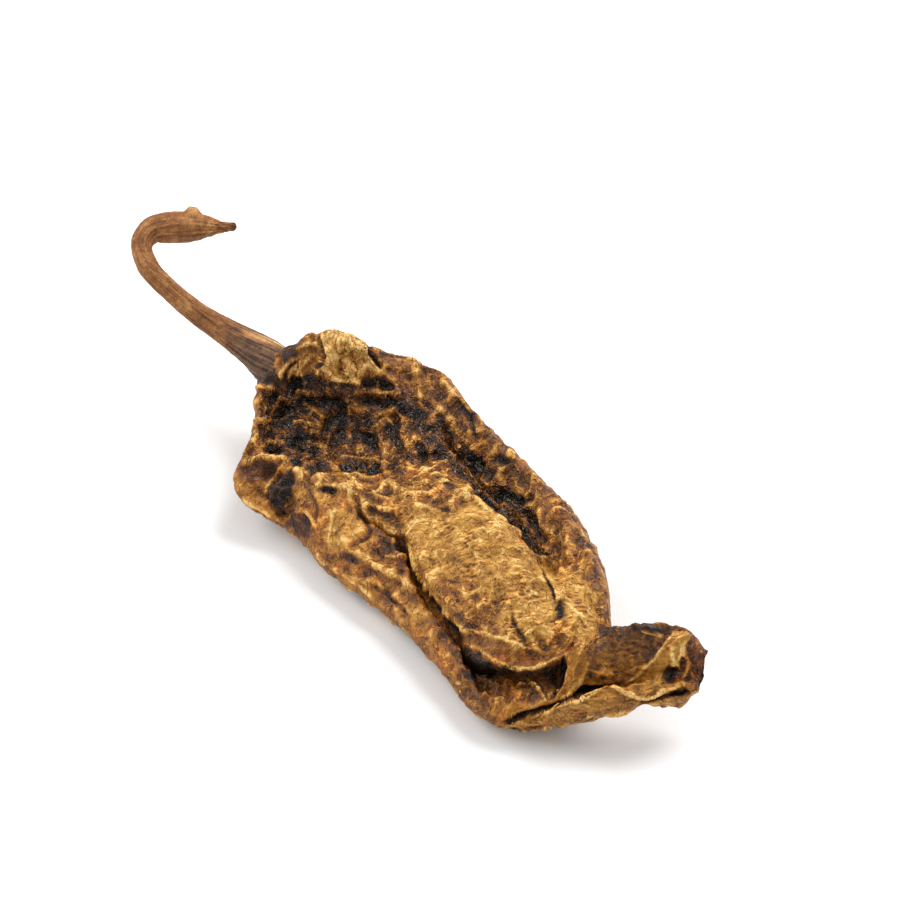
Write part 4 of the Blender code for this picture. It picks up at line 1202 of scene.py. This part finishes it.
@dataclass
class HookedStem:
    """The woody stem: a ribbed rod swept along its hooked route, with a knobbly head and a thin dark tip.

    Its base is grey and striped, with one golden streak of painted highlight along its lit edge. The grey
    fades from grey_start to grey_end along it, and its head begins at head_start. Lengths are in millimetres.

    A scale draws noise out along the rod: the radius of one turn in noise cells, and the length of a cell.
    A tone given as a pair is the amount everywhere and how much more it is where the stem is grey.
    """

    viewpoint: Viewpoint
    rows: int = 300
    ring: int = 108
    plane: Point3 = (-0.41, 0.36, -0.84)
    twist: Point3 = (0.035, 0.25, 0.3)
    ribs: int = 9
    rib_depth: float = 0.065
    rib_middle: float = 0.6
    rib_head_loss: float = 0.7
    fibre_scale: Point2 = (3.2, 4.5)
    fibre_depth: float = 0.10
    stripe_scale: Point2 = (6.5, 8.0)
    stripe_edge: Point2 = (-0.05, 0.30)
    stripe_depth: float = 0.04
    pit_depth: float = 0.04
    pit_head_depth: float = 0.16
    grey_start: float = 4.0
    grey_end: float = 10.0
    head_start: float = 29.0
    head_length: float = 2.5
    knob_place: Point3 = (-48.1, 0.3, 18.4)
    knob_radius: float = 0.75
    tip_length: float = 0.45
    tip_dark_length: float = 1.0
    middle_tone: float = 0.55
    fibre_tone: Point2 = (0.20, 0.20)
    rib_tone: Point2 = (0.08, 0.12)
    stripe_tone: Point2 = (0.04, 0.28)
    pit_tone: float = 0.20
    knob_tone: float = 0.25
    cloud_tone: float = 0.14
    tip_tone: float = 0.25
    crest_tone: float = 0.12
    pixels_to_mm: float = 1.0 / 8.9
    # streak: a golden painted highlight along the stem's lit upper edge.
    streak: Crease = Crease(0.0, 0.45, 0.30, ((236, 328), (249, 335), (264, 339), (281, 344), (294, 350)))

    def drawn_out(self, turn: np.ndarray, length: np.ndarray, scale: Point2) -> np.ndarray:
        """Places for noise that is drawn out along the rod."""
        radius, cell = scale
        return np.stack([np.cos(turn) * radius, np.sin(turn) * radius, length / cell], axis=-1)

    def sweep(self) -> tuple[np.ndarray, np.ndarray, np.ndarray, np.ndarray, np.ndarray]:
        """Lay rings along the route.

        Returns:
            The middle and the radius of each ring, and for each place on it the way out from the middle, the
            length along the route and the turn round the ring.
        """
        route = np.array(STEM_ROUTE)
        knots = line_lengths(route[:, :3])
        places = np.linspace(0.0, knots[-1], self.rows)
        line = curve_through(knots, route, places)
        middle, radius = line[:, None, :3], line[:, None, 3]
        forward = np.gradient(line[:, :3], axis=0)
        forward /= np.linalg.norm(forward, axis=1, keepdims=True)
        side = np.cross(forward, np.array(self.plane))
        side /= np.linalg.norm(side, axis=1, keepdims=True)
        other = np.cross(forward, side)

        turns = np.linspace(0.0, 2.0 * math.pi, self.ring, endpoint=False)
        spoke = side[:, None] * np.cos(turns)[:, None] + other[:, None] * np.sin(turns)[:, None]
        length = np.broadcast_to(places[:, None], spoke.shape[:2])
        turn = np.broadcast_to(turns, spoke.shape[:2])
        return middle, radius, spoke, length, turn

    def build(self) -> bpy.types.Object:
        """Sweep the rod and lay its ribs, fibres, stripes and knob over it."""
        middle, radius, spoke, length, turn = self.sweep()
        end = length[-1, 0]
        head = smooth_step((length - self.head_start) / self.head_length)
        rate, swing, wave = self.twist
        turn = turn + rate * length + swing * np.sin(wave * length)
        rib = np.abs(np.sin(0.5 * self.ribs * turn)) - self.rib_middle
        fibres = Grain(101).ridges(self.drawn_out(turn, length, self.fibre_scale), 3) - RIDGES_MEAN
        pits = Grain(111).ridges(middle / 1.1 + spoke * 1.2, 2) - RIDGES_MEAN
        start, span = self.stripe_edge
        stripes = Grain(131).wave(self.drawn_out(turn, length, self.stripe_scale))
        stripes = smooth_step((stripes - start) / span) * (1.0 - head)

        size = radius * (1.0 - self.rib_depth * rib * (1.0 - self.rib_head_loss * head))
        size = size + self.fibre_depth * fibres
        size = size + pits * (self.pit_depth + self.pit_head_depth * head) - self.stripe_depth * stripes
        tip = np.clip((length - end) / self.tip_length + 1.0, 0.0, 1.0)
        size = size * np.sqrt(1.0 - 0.9 * tip ** 2)
        points = middle + spoke * size[..., None]
        reach = np.linalg.norm(points - np.array(self.knob_place), axis=-1)
        bulge = np.exp(-((reach / (self.knob_radius * 1.15)) ** 4))
        points = points + spoke * (bulge * self.knob_radius * 0.9)[..., None]

        grey = 1.0 - smooth_step((length - self.grey_start) / (self.grey_end - self.grey_start))
        pairs = (self.fibre_tone, self.rib_tone, self.stripe_tone)
        fibre_tone, rib_tone, stripe_tone = (everywhere + more * grey for everywhere, more in pairs)
        tone = self.middle_tone + fibre_tone * fibres - rib_tone * rib
        tone = tone + self.pit_tone * pits * head + self.knob_tone * bulge
        tone = tone + self.cloud_tone * Grain(121).cloud(points / 2.0, 3)
        tone = tone - self.tip_tone * smooth_step((length - end + self.tip_dark_length) / 0.8)
        tone = tone - stripe_tone * stripes
        _, _, back = self.viewpoint.directions()
        # Painted highlight: the golden streak, only on the side facing the camera, where it also takes away
        # the grey.
        streak = self.streak.cover(*self.viewpoint.pixels(points), self.pixels_to_mm)
        streak = streak * smooth_step(spoke @ back / 0.3)
        tone = tone + self.streak.tone * streak - self.crest_tone * grey * (fibres > 0.1)
        spare = np.ones(grey.shape)
        look = np.stack([np.clip(tone, 0.0, 1.0), grey * (1.0 - streak), spare, spare], axis=-1)
        stem = mesh_object("hooked_stem", points[:, ::-1], {"look": look[:, ::-1]})
        log.info("hooked stem: %d faces", len(stem.data.polygons))
        return stem


# Finishes

class Graph:
    """Short ways to add shader nodes to one new material; a socket given as a value is linked."""

    def __init__(self, name: str) -> None:
        self.material = bpy.data.materials.new(name)
        self.material.use_nodes = True
        self.tree = self.material.node_tree
        self.shader = self.tree.nodes["Principled BSDF"]
        self.place = self.tree.nodes.new("ShaderNodeTexCoord").outputs["Object"]

    def put(self, socket: Socket, value: object) -> None:
        """Link a socket, or set its plain value."""
        if isinstance(value, Socket):
            self.tree.links.new(value, socket)
        else:
            socket.default_value = value

    def add(self, kind: str, **values: object) -> bpy.types.Node:
        """A new node with the given inputs set or linked."""
        node = self.tree.nodes.new(kind)
        for name, value in values.items():
            self.put(node.inputs[name], value)
        return node

    def attribute(self, name: str) -> list[Socket]:
        """The four values of one of the mesh's attributes."""
        node = self.tree.nodes.new("ShaderNodeAttribute")
        node.attribute_name = name
        split = self.add("ShaderNodeSeparateColor", Color=node.outputs["Color"])
        return [*split.outputs, node.outputs["Alpha"]]

    def math(self, operation: str, first: object, second: object = 0.0) -> Socket:
        """One arithmetic node on two sockets or numbers."""
        node = self.tree.nodes.new("ShaderNodeMath")
        node.operation = operation
        self.put(node.inputs[0], first)
        self.put(node.inputs[1], second)
        return node.outputs["Value"]

    def plus(self, first: object, second: object) -> Socket:
        """The sum of two values."""
        return self.math("ADD", first, second)

    def minus(self, first: object, second: object) -> Socket:
        """The first value less the second."""
        return self.math("SUBTRACT", first, second)

    def times(self, first: object, second: object) -> Socket:
        """The product of two values."""
        return self.math("MULTIPLY", first, second)

    def total(self, *parts: tuple[object, float, float]) -> Socket:
        """Add up (source, middle, amount) parts, each the source less its middle value, times the amount."""
        total = 0.0
        for source, middle, amount in parts:
            total = self.plus(self.times(self.minus(source, middle), amount), total)
        return total

    def step(self, value: object, start: float, end: float) -> Socket:
        """Ease from 0 at start to 1 at end, held flat outside them; start may be the higher one."""
        node = self.tree.nodes.new("ShaderNodeMapRange")
        node.interpolation_type = "SMOOTHSTEP"
        for name, number in (("Value", value), ("From Min", start), ("From Max", end)):
            self.put(node.inputs[name], number)
        return node.outputs["Result"]

    def turned(self, vector: object, degrees: float, stretch: Point3) -> Socket:
        """The vector turned about Z and scaled along each axis."""
        turn = self.add("ShaderNodeMapping", Vector=vector, Rotation=(0.0, 0.0, -math.radians(degrees)))
        return self.add("ShaderNodeMapping", Vector=turn.outputs["Vector"], Scale=stretch).outputs["Vector"]

    def noise(self, vector: object, size_mm: float, detail: float, roughness: float) -> Socket:
        """Noise from 0 to 1 whose largest features are about size_mm across."""
        node = self.add("ShaderNodeTexNoise", Vector=vector, Scale=1.0 / (size_mm * MM), Detail=detail)
        self.put(node.inputs["Roughness"], roughness)
        return node.outputs["Fac"]

    def bent(self, vector: object, size_mm: float, reach_mm: float) -> Socket:
        """The vector pushed about by noise, so that regular patterns turn wavy."""
        node = self.add("ShaderNodeTexNoise", Vector=vector, Scale=1.0 / (size_mm * MM), Detail=2.0)
        push = self.tree.nodes.new("ShaderNodeVectorMath")
        push.operation = "MULTIPLY_ADD"
        self.put(push.inputs[0], node.outputs["Color"])
        self.put(push.inputs[1], (reach_mm * MM,) * 3)
        self.put(push.inputs[2], vector)
        return push.outputs["Vector"]

    def cells(self, vector: object, size_mm: float) -> tuple[Socket, Socket]:
        """Cone-shaped dimples about size_mm across, 0 to about 1 at their walls, and a chance value each."""
        node = self.add("ShaderNodeTexVoronoi", Vector=vector, Scale=1.0 / (size_mm * MM))
        split = self.add("ShaderNodeSeparateColor", Color=node.outputs["Color"])
        return node.outputs["Distance"], split.outputs[0]

    def walls(self, vector: object, size_mm: float, width: float) -> Socket:
        """1 along the walls between irregular cells about size_mm across, 0 from width of a cell away on."""
        node = self.tree.nodes.new("ShaderNodeTexVoronoi")
        node.feature = "DISTANCE_TO_EDGE"
        self.put(node.inputs["Vector"], vector)
        self.put(node.inputs["Scale"], 1.0 / (size_mm * MM))
        return self.step(node.outputs["Distance"], width, 0.0)

    def contour(self, value: object, width: float) -> Socket:
        """1 along the lines where a value crosses 0.5, easing to 0 where it is width away from that."""
        return self.step(self.math("ABSOLUTE", self.minus(value, 0.5)), width, 0.0)

    def mix(self, factor: object, first: object, second: object, blend: str = "MIX") -> Socket:
        """Blend two colours."""
        node = self.tree.nodes.new("ShaderNodeMix")
        node.data_type = "RGBA"
        node.blend_type = blend
        self.put(node.inputs[0], factor)
        self.put(node.inputs[6], first)
        self.put(node.inputs[7], second)
        return node.outputs[2]

    def ramp(self, factor: object, stops: tuple) -> Socket:
        """A colour ramp through (place, red, green, blue) stops."""
        node = self.add("ShaderNodeValToRGB", Fac=factor)
        ramp = node.color_ramp
        while len(ramp.elements) < len(stops):
            ramp.elements.new(0.5)
        for element, (place, *colour) in zip(ramp.elements, stops):
            element.position = place
            element.color = (*colour, 1.0)
        return node.outputs["Color"]

    def bump(self, height: object, rise_mm: float, normal: object = None) -> Socket:
        """Tilt the shading as if the surface rose by rise_mm where height is 1."""
        node = self.add("ShaderNodeBump", Strength=1.0, Distance=rise_mm * MM, Height=height)
        if normal is not None:
            self.put(node.inputs["Normal"], normal)
        return node.outputs["Normal"]

    def finish(self, **values: object) -> bpy.types.Material:
        """Set the shader's inputs, named with _ for a space, and give back the material."""
        for name, value in values.items():
            self.put(self.shader.inputs[name.replace("_", " ")], value)
        return self.material


@dataclass(frozen=True)
class SkinFinish:
    """Smoke-dried skin: brown to gold by tone, leathery, with glossy dark hollows and fine grain. Its colour
    also carries painted light and shade: lit ridge lines with painted shadow beside them, facets painted
    lighter or darker, and painted glints.

    Sizes and rises are in millimetres.
    """

    stops: tuple = (
        (0.00, 0.004, 0.003, 0.002),
        (0.15, 0.012, 0.007, 0.004),
        (0.35, 0.072, 0.027, 0.007),
        (0.50, 0.190, 0.072, 0.010),
        (0.65, 0.345, 0.150, 0.017),
        (0.80, 0.530, 0.270, 0.045),
        (1.00, 0.840, 0.570, 0.200),
    )
    red_tint: Colour = (1.0, 0.66, 0.50, 1.0)
    red_share: float = 0.7
    orange: Colour = (1.06, 0.84, 0.60, 1.0)
    olive: Colour = (0.60, 0.68, 0.62, 1.0)
    olive_share: float = 0.7
    # pale is the colour of the painted glints, mixed in by pale_share.
    pale: Colour = (0.72, 0.47, 0.20, 1.0)
    pale_share: float = 0.34
    glint_tone: float = 0.14
    grain_turn: float = 52.0
    dash_stretch: Point3 = (0.32, 1.0, 0.6)
    stroke_stretch: Point3 = (0.36, 1.0, 0.8)
    facet_size: float = 1.4
    small_facet_size: float = 0.62
    least_depth: float = 0.30
    texture_rise: float = 0.45
    lines_rise: float = 0.16
    roughness: float = 0.64
    gloss_share: float = 0.36
    grain_share: float = 0.40
    specular: float = 0.33

    def creases(self, graph: Graph, crumbs: Socket, mottle: Socket, grain: Socket) -> tuple[Socket, Socket]:
        """Fine relief of the skin, with painted light and shade on its ridges, and painted facet shading: how
        much lighter or darker each facet is, as if turned to the light at its own angle.
        """
        wide_crinkle = graph.contour(graph.noise(crumbs, 0.95, detail=1.5, roughness=0.5), 0.075)
        small, _ = graph.cells(crumbs, 0.36)
        folded = graph.bent(crumbs, self.facet_size, 0.8)
        _, facet = graph.cells(folded, self.facet_size)
        _, small_facet = graph.cells(folded, self.small_facet_size)
        broken = graph.step(graph.noise(graph.place, 0.9, detail=2.0, roughness=0.5), 0.44, 0.60)
        wall = graph.times(graph.walls(folded, self.facet_size, 0.12), broken)
        small_wall = graph.times(graph.walls(folded, self.small_facet_size, 0.16), graph.minus(1.0, broken))
        swell = graph.noise(folded, 1.1, detail=1.0, roughness=0.5)
        # A thin lit ridge line, as painted highlight, and a line of painted shadow just beside it.
        shadow_beside_ridge = graph.contour(swell, 0.024)
        lit_ridge = graph.contour(graph.plus(swell, 0.045), 0.024)
        # The walls and ridge lines in this sum paint light on crests and shade beside them; the same sum is
        # also the bump's height.
        texture = graph.total(
            (mottle, 0.5, 0.20), (grain, 0.5, 0.26), (small, 0.5, 0.14), (wide_crinkle, 0.25, 0.10),
            (wall, 0.1, 0.30), (small_wall, 0.1, 0.10), (shadow_beside_ridge, 0.1, -0.22), (lit_ridge, 0.1, 0.20),
        )
        # Painted facet shading: each facet lighter or darker, as if it faced the light at its own angle.
        painted_facet_shading = graph.plus(
            graph.times(graph.minus(facet, 0.5), 0.20), graph.times(graph.minus(small_facet, 0.5), 0.11)
        )
        return texture, painted_facet_shading

    def scoring(self, graph: Graph, crumbs: Socket, mottle: Socket, striae: Socket) -> Socket:
        """Short fine lines across the pod, as strong as striae says and patchy."""
        dashes, _ = graph.cells(graph.turned(crumbs, self.grain_turn, self.dash_stretch), 0.30)
        along = graph.turned(crumbs, self.grain_turn, self.stroke_stretch)
        strokes = graph.noise(along, 0.24, detail=1.0, roughness=0.5)
        wide_strokes = graph.noise(along, 0.62, detail=1.0, roughness=0.5)
        lines = graph.total((dashes, 0.5, 0.50), (strokes, 0.5, 0.32), (wide_strokes, 0.5, 0.38))
        patchy = graph.plus(0.35, graph.times(0.9, graph.step(mottle, 0.42, 0.58)))
        return graph.times(graph.times(lines, striae), patchy)

    def glints(self, graph: Graph, crumbs: Socket, gloss: Socket) -> Socket:
        """Painted glints: short pale curls of painted highlight, here and there on the glossy skin."""
        curl = graph.contour(graph.noise(crumbs, 0.55, detail=1.0, roughness=0.5), 0.055)
        places = graph.step(graph.noise(graph.place, 0.9, detail=2.0, roughness=0.6), 0.55, 0.63)
        return graph.times(graph.times(curl, places), graph.step(gloss, 0.5, 0.8))

    def material(self) -> bpy.types.Material:
        """Make the material; it reads the attributes "look" and "feel" and Object coordinates."""
        graph = Graph("smoke-dried skin")
        tone, red, gloss, striae = graph.attribute("look")
        crumple = graph.attribute("feel")[0]
        crumbs = graph.bent(graph.place, 0.6, 0.16)
        mottle = graph.noise(graph.place, 2.4, detail=3.0, roughness=0.6)
        grain = graph.noise(crumbs, 0.5, detail=3.0, roughness=0.65)
        depth = graph.plus(graph.times(crumple, 1.0 - self.least_depth), self.least_depth)
        texture, painted_facet_shading = (graph.times(part, depth) for part in self.creases(graph, crumbs, mottle, grain))
        lines = self.scoring(graph, crumbs, mottle, striae)
        glint = self.glints(graph, crumbs, gloss)
        # Painted light and shade join the tone here, with the random grain and the scoring.
        tone = graph.plus(graph.plus(graph.plus(tone, texture), lines), painted_facet_shading)
        tone = graph.plus(tone, graph.times(glint, self.glint_tone))

        colour = graph.ramp(tone, self.stops)
        colour = graph.mix(graph.times(red, self.red_share), colour, self.red_tint, "MULTIPLY")
        warmth = graph.times(graph.step(mottle, 0.50, 0.66), graph.step(gloss, 0.75, 0.5))
        colour = graph.mix(warmth, colour, self.orange, "MULTIPLY")
        cool = graph.math("MAXIMUM", graph.step(lines, -0.10, -0.25), graph.step(grain, 0.42, 0.30))
        colour = graph.mix(graph.times(cool, self.olive_share), colour, self.olive, "MULTIPLY")
        # Painted glints: the colour is drawn towards pale where they fall.
        colour = graph.mix(graph.times(glint, self.pale_share), colour, self.pale)

        rough = graph.minus(self.roughness, graph.times(gloss, self.gloss_share))
        rough = graph.plus(rough, graph.times(graph.minus(grain, 0.5), self.grain_share))
        normal = graph.bump(lines, self.lines_rise, graph.bump(texture, self.texture_rise))
        return graph.finish(
            Base_Color=colour, Roughness=rough, Normal=normal, Specular_IOR_Level=self.specular
        )


@dataclass(frozen=True)
class WoodFinish:
    """Dry stem wood: streaked brown, greyer towards the flared base, with dark grey stripes there."""

    stops: tuple = (
        (0.00, 0.012, 0.006, 0.004),
        (0.30, 0.078, 0.027, 0.009),
        (0.55, 0.250, 0.098, 0.028),
        (0.75, 0.450, 0.220, 0.074),
        (1.00, 0.760, 0.520, 0.240),
    )
    grey: Colour = (0.120, 0.076, 0.050, 1.0)
    dark_grey: Colour = (0.036, 0.021, 0.014, 1.0)
    grey_share: float = 0.7
    grain_amount: float = 0.50
    speck_amount: float = 0.30
    grain_rise: float = 0.20
    speck_rise: float = 0.07
    roughness: float = 0.66
    specular: float = 0.25

    def material(self) -> bpy.types.Material:
        """Make the material; it reads the attribute "look" and Object coordinates."""
        graph = Graph("dry stem wood")
        tone, grey, _, _ = graph.attribute("look")
        grain = graph.noise(graph.place, 0.6, detail=4.0, roughness=0.65)
        speck = graph.noise(graph.place, 0.22, detail=2.0, roughness=0.6)
        for source, amount in ((grain, self.grain_amount), (speck, self.speck_amount)):
            tone = graph.plus(tone, graph.times(graph.minus(source, 0.5), amount))
        aged = graph.mix(graph.step(tone, 0.25, 0.60), self.dark_grey, self.grey)
        colour = graph.mix(graph.times(grey, self.grey_share), graph.ramp(tone, self.stops), aged)
        normal = graph.bump(speck, self.speck_rise, graph.bump(grain, self.grain_rise))
        return graph.finish(
            Base_Color=colour, Roughness=self.roughness, Normal=normal, Specular_IOR_Level=self.specular
        )


# Studio

@dataclass(frozen=True)
class Softbox:
    """A square area light: its place and size in millimetres, its power in watts and the place it aims at."""

    name: str
    place: Point3
    size: float
    power: float
    target: Point3 = (0.0, 0.0, 5.0)

    def add(self) -> bpy.types.Object:
        """Make the light and turn it towards the middle of the pod."""
        data = bpy.data.lights.new(self.name, "AREA")
        data.size = self.size * MM
        data.energy = self.power
        light = bpy.data.objects.new(self.name, data)
        light.location = Vector(self.place) * MM
        towards = Vector(self.target) * MM - light.location
        light.rotation_euler = towards.to_track_quat("-Z", "Y").to_euler()
        bpy.context.scene.collection.objects.link(light)
        return light


@dataclass(frozen=True)
class Studio:
    """A white table under two softboxes and a white surround."""

    floor_size: float = 3000.0
    floor_colour: Colour = (0.86, 0.86, 0.86, 1.0)
    surround: float = 0.60
    softboxes: tuple[Softbox, ...] = (
        Softbox("back softbox", (-60.0, 420.0, 520.0), 420.0, 4.4),
        Softbox("front softbox", (-420.0, -300.0, 420.0), 480.0, 2.9),
    )

    def build(self) -> None:
        """Lay the table, light it and set how the picture's brightness is shown."""
        half = self.floor_size / 2.0 * MM
        mesh = bpy.data.meshes.new("table")
        corners = [(x * half, y * half, 0.0) for x, y in ((-1, -1), (1, -1), (1, 1), (-1, 1))]
        mesh.from_pydata(corners, [], [(0, 1, 2, 3)])
        table = bpy.data.objects.new("table", mesh)
        bpy.context.scene.collection.objects.link(table)
        material = bpy.data.materials.new("white table")
        material.use_nodes = True
        shader = material.node_tree.nodes["Principled BSDF"]
        shader.inputs["Base Color"].default_value = self.floor_colour
        shader.inputs["Roughness"].default_value = 0.9
        shader.inputs["Specular IOR Level"].default_value = 0.0
        mesh.materials.append(material)
        for softbox in self.softboxes:
            softbox.add()
        world = bpy.data.worlds.new("white surround")
        world.use_nodes = True
        background = world.node_tree.nodes["Background"]
        background.inputs["Color"].default_value = (1.0, 1.0, 1.0, 1.0)
        background.inputs["Strength"].default_value = self.surround
        bpy.context.scene.world = world
        bpy.context.scene.view_settings.view_transform = "Standard"


def main() -> None:
    """Build the pod and its stem, give them their finishes, and set up the view and the light."""
    logging.basicConfig(level=logging.INFO, format="%(name)s: %(message)s")
    viewpoint = Viewpoint()

    pod = PodSkin(PodForm(), viewpoint).build()
    pod.data.materials.append(SkinFinish().material())
    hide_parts(Node.POD.value)
    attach(pod, "root")

    stem = HookedStem(viewpoint).build()
    stem.data.materials.append(WoodFinish().material())
    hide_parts(Node.STEM.value)
    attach(stem, "root")

    Studio().build()
    viewpoint.make_camera()


if __name__ == "__main__":
    main()
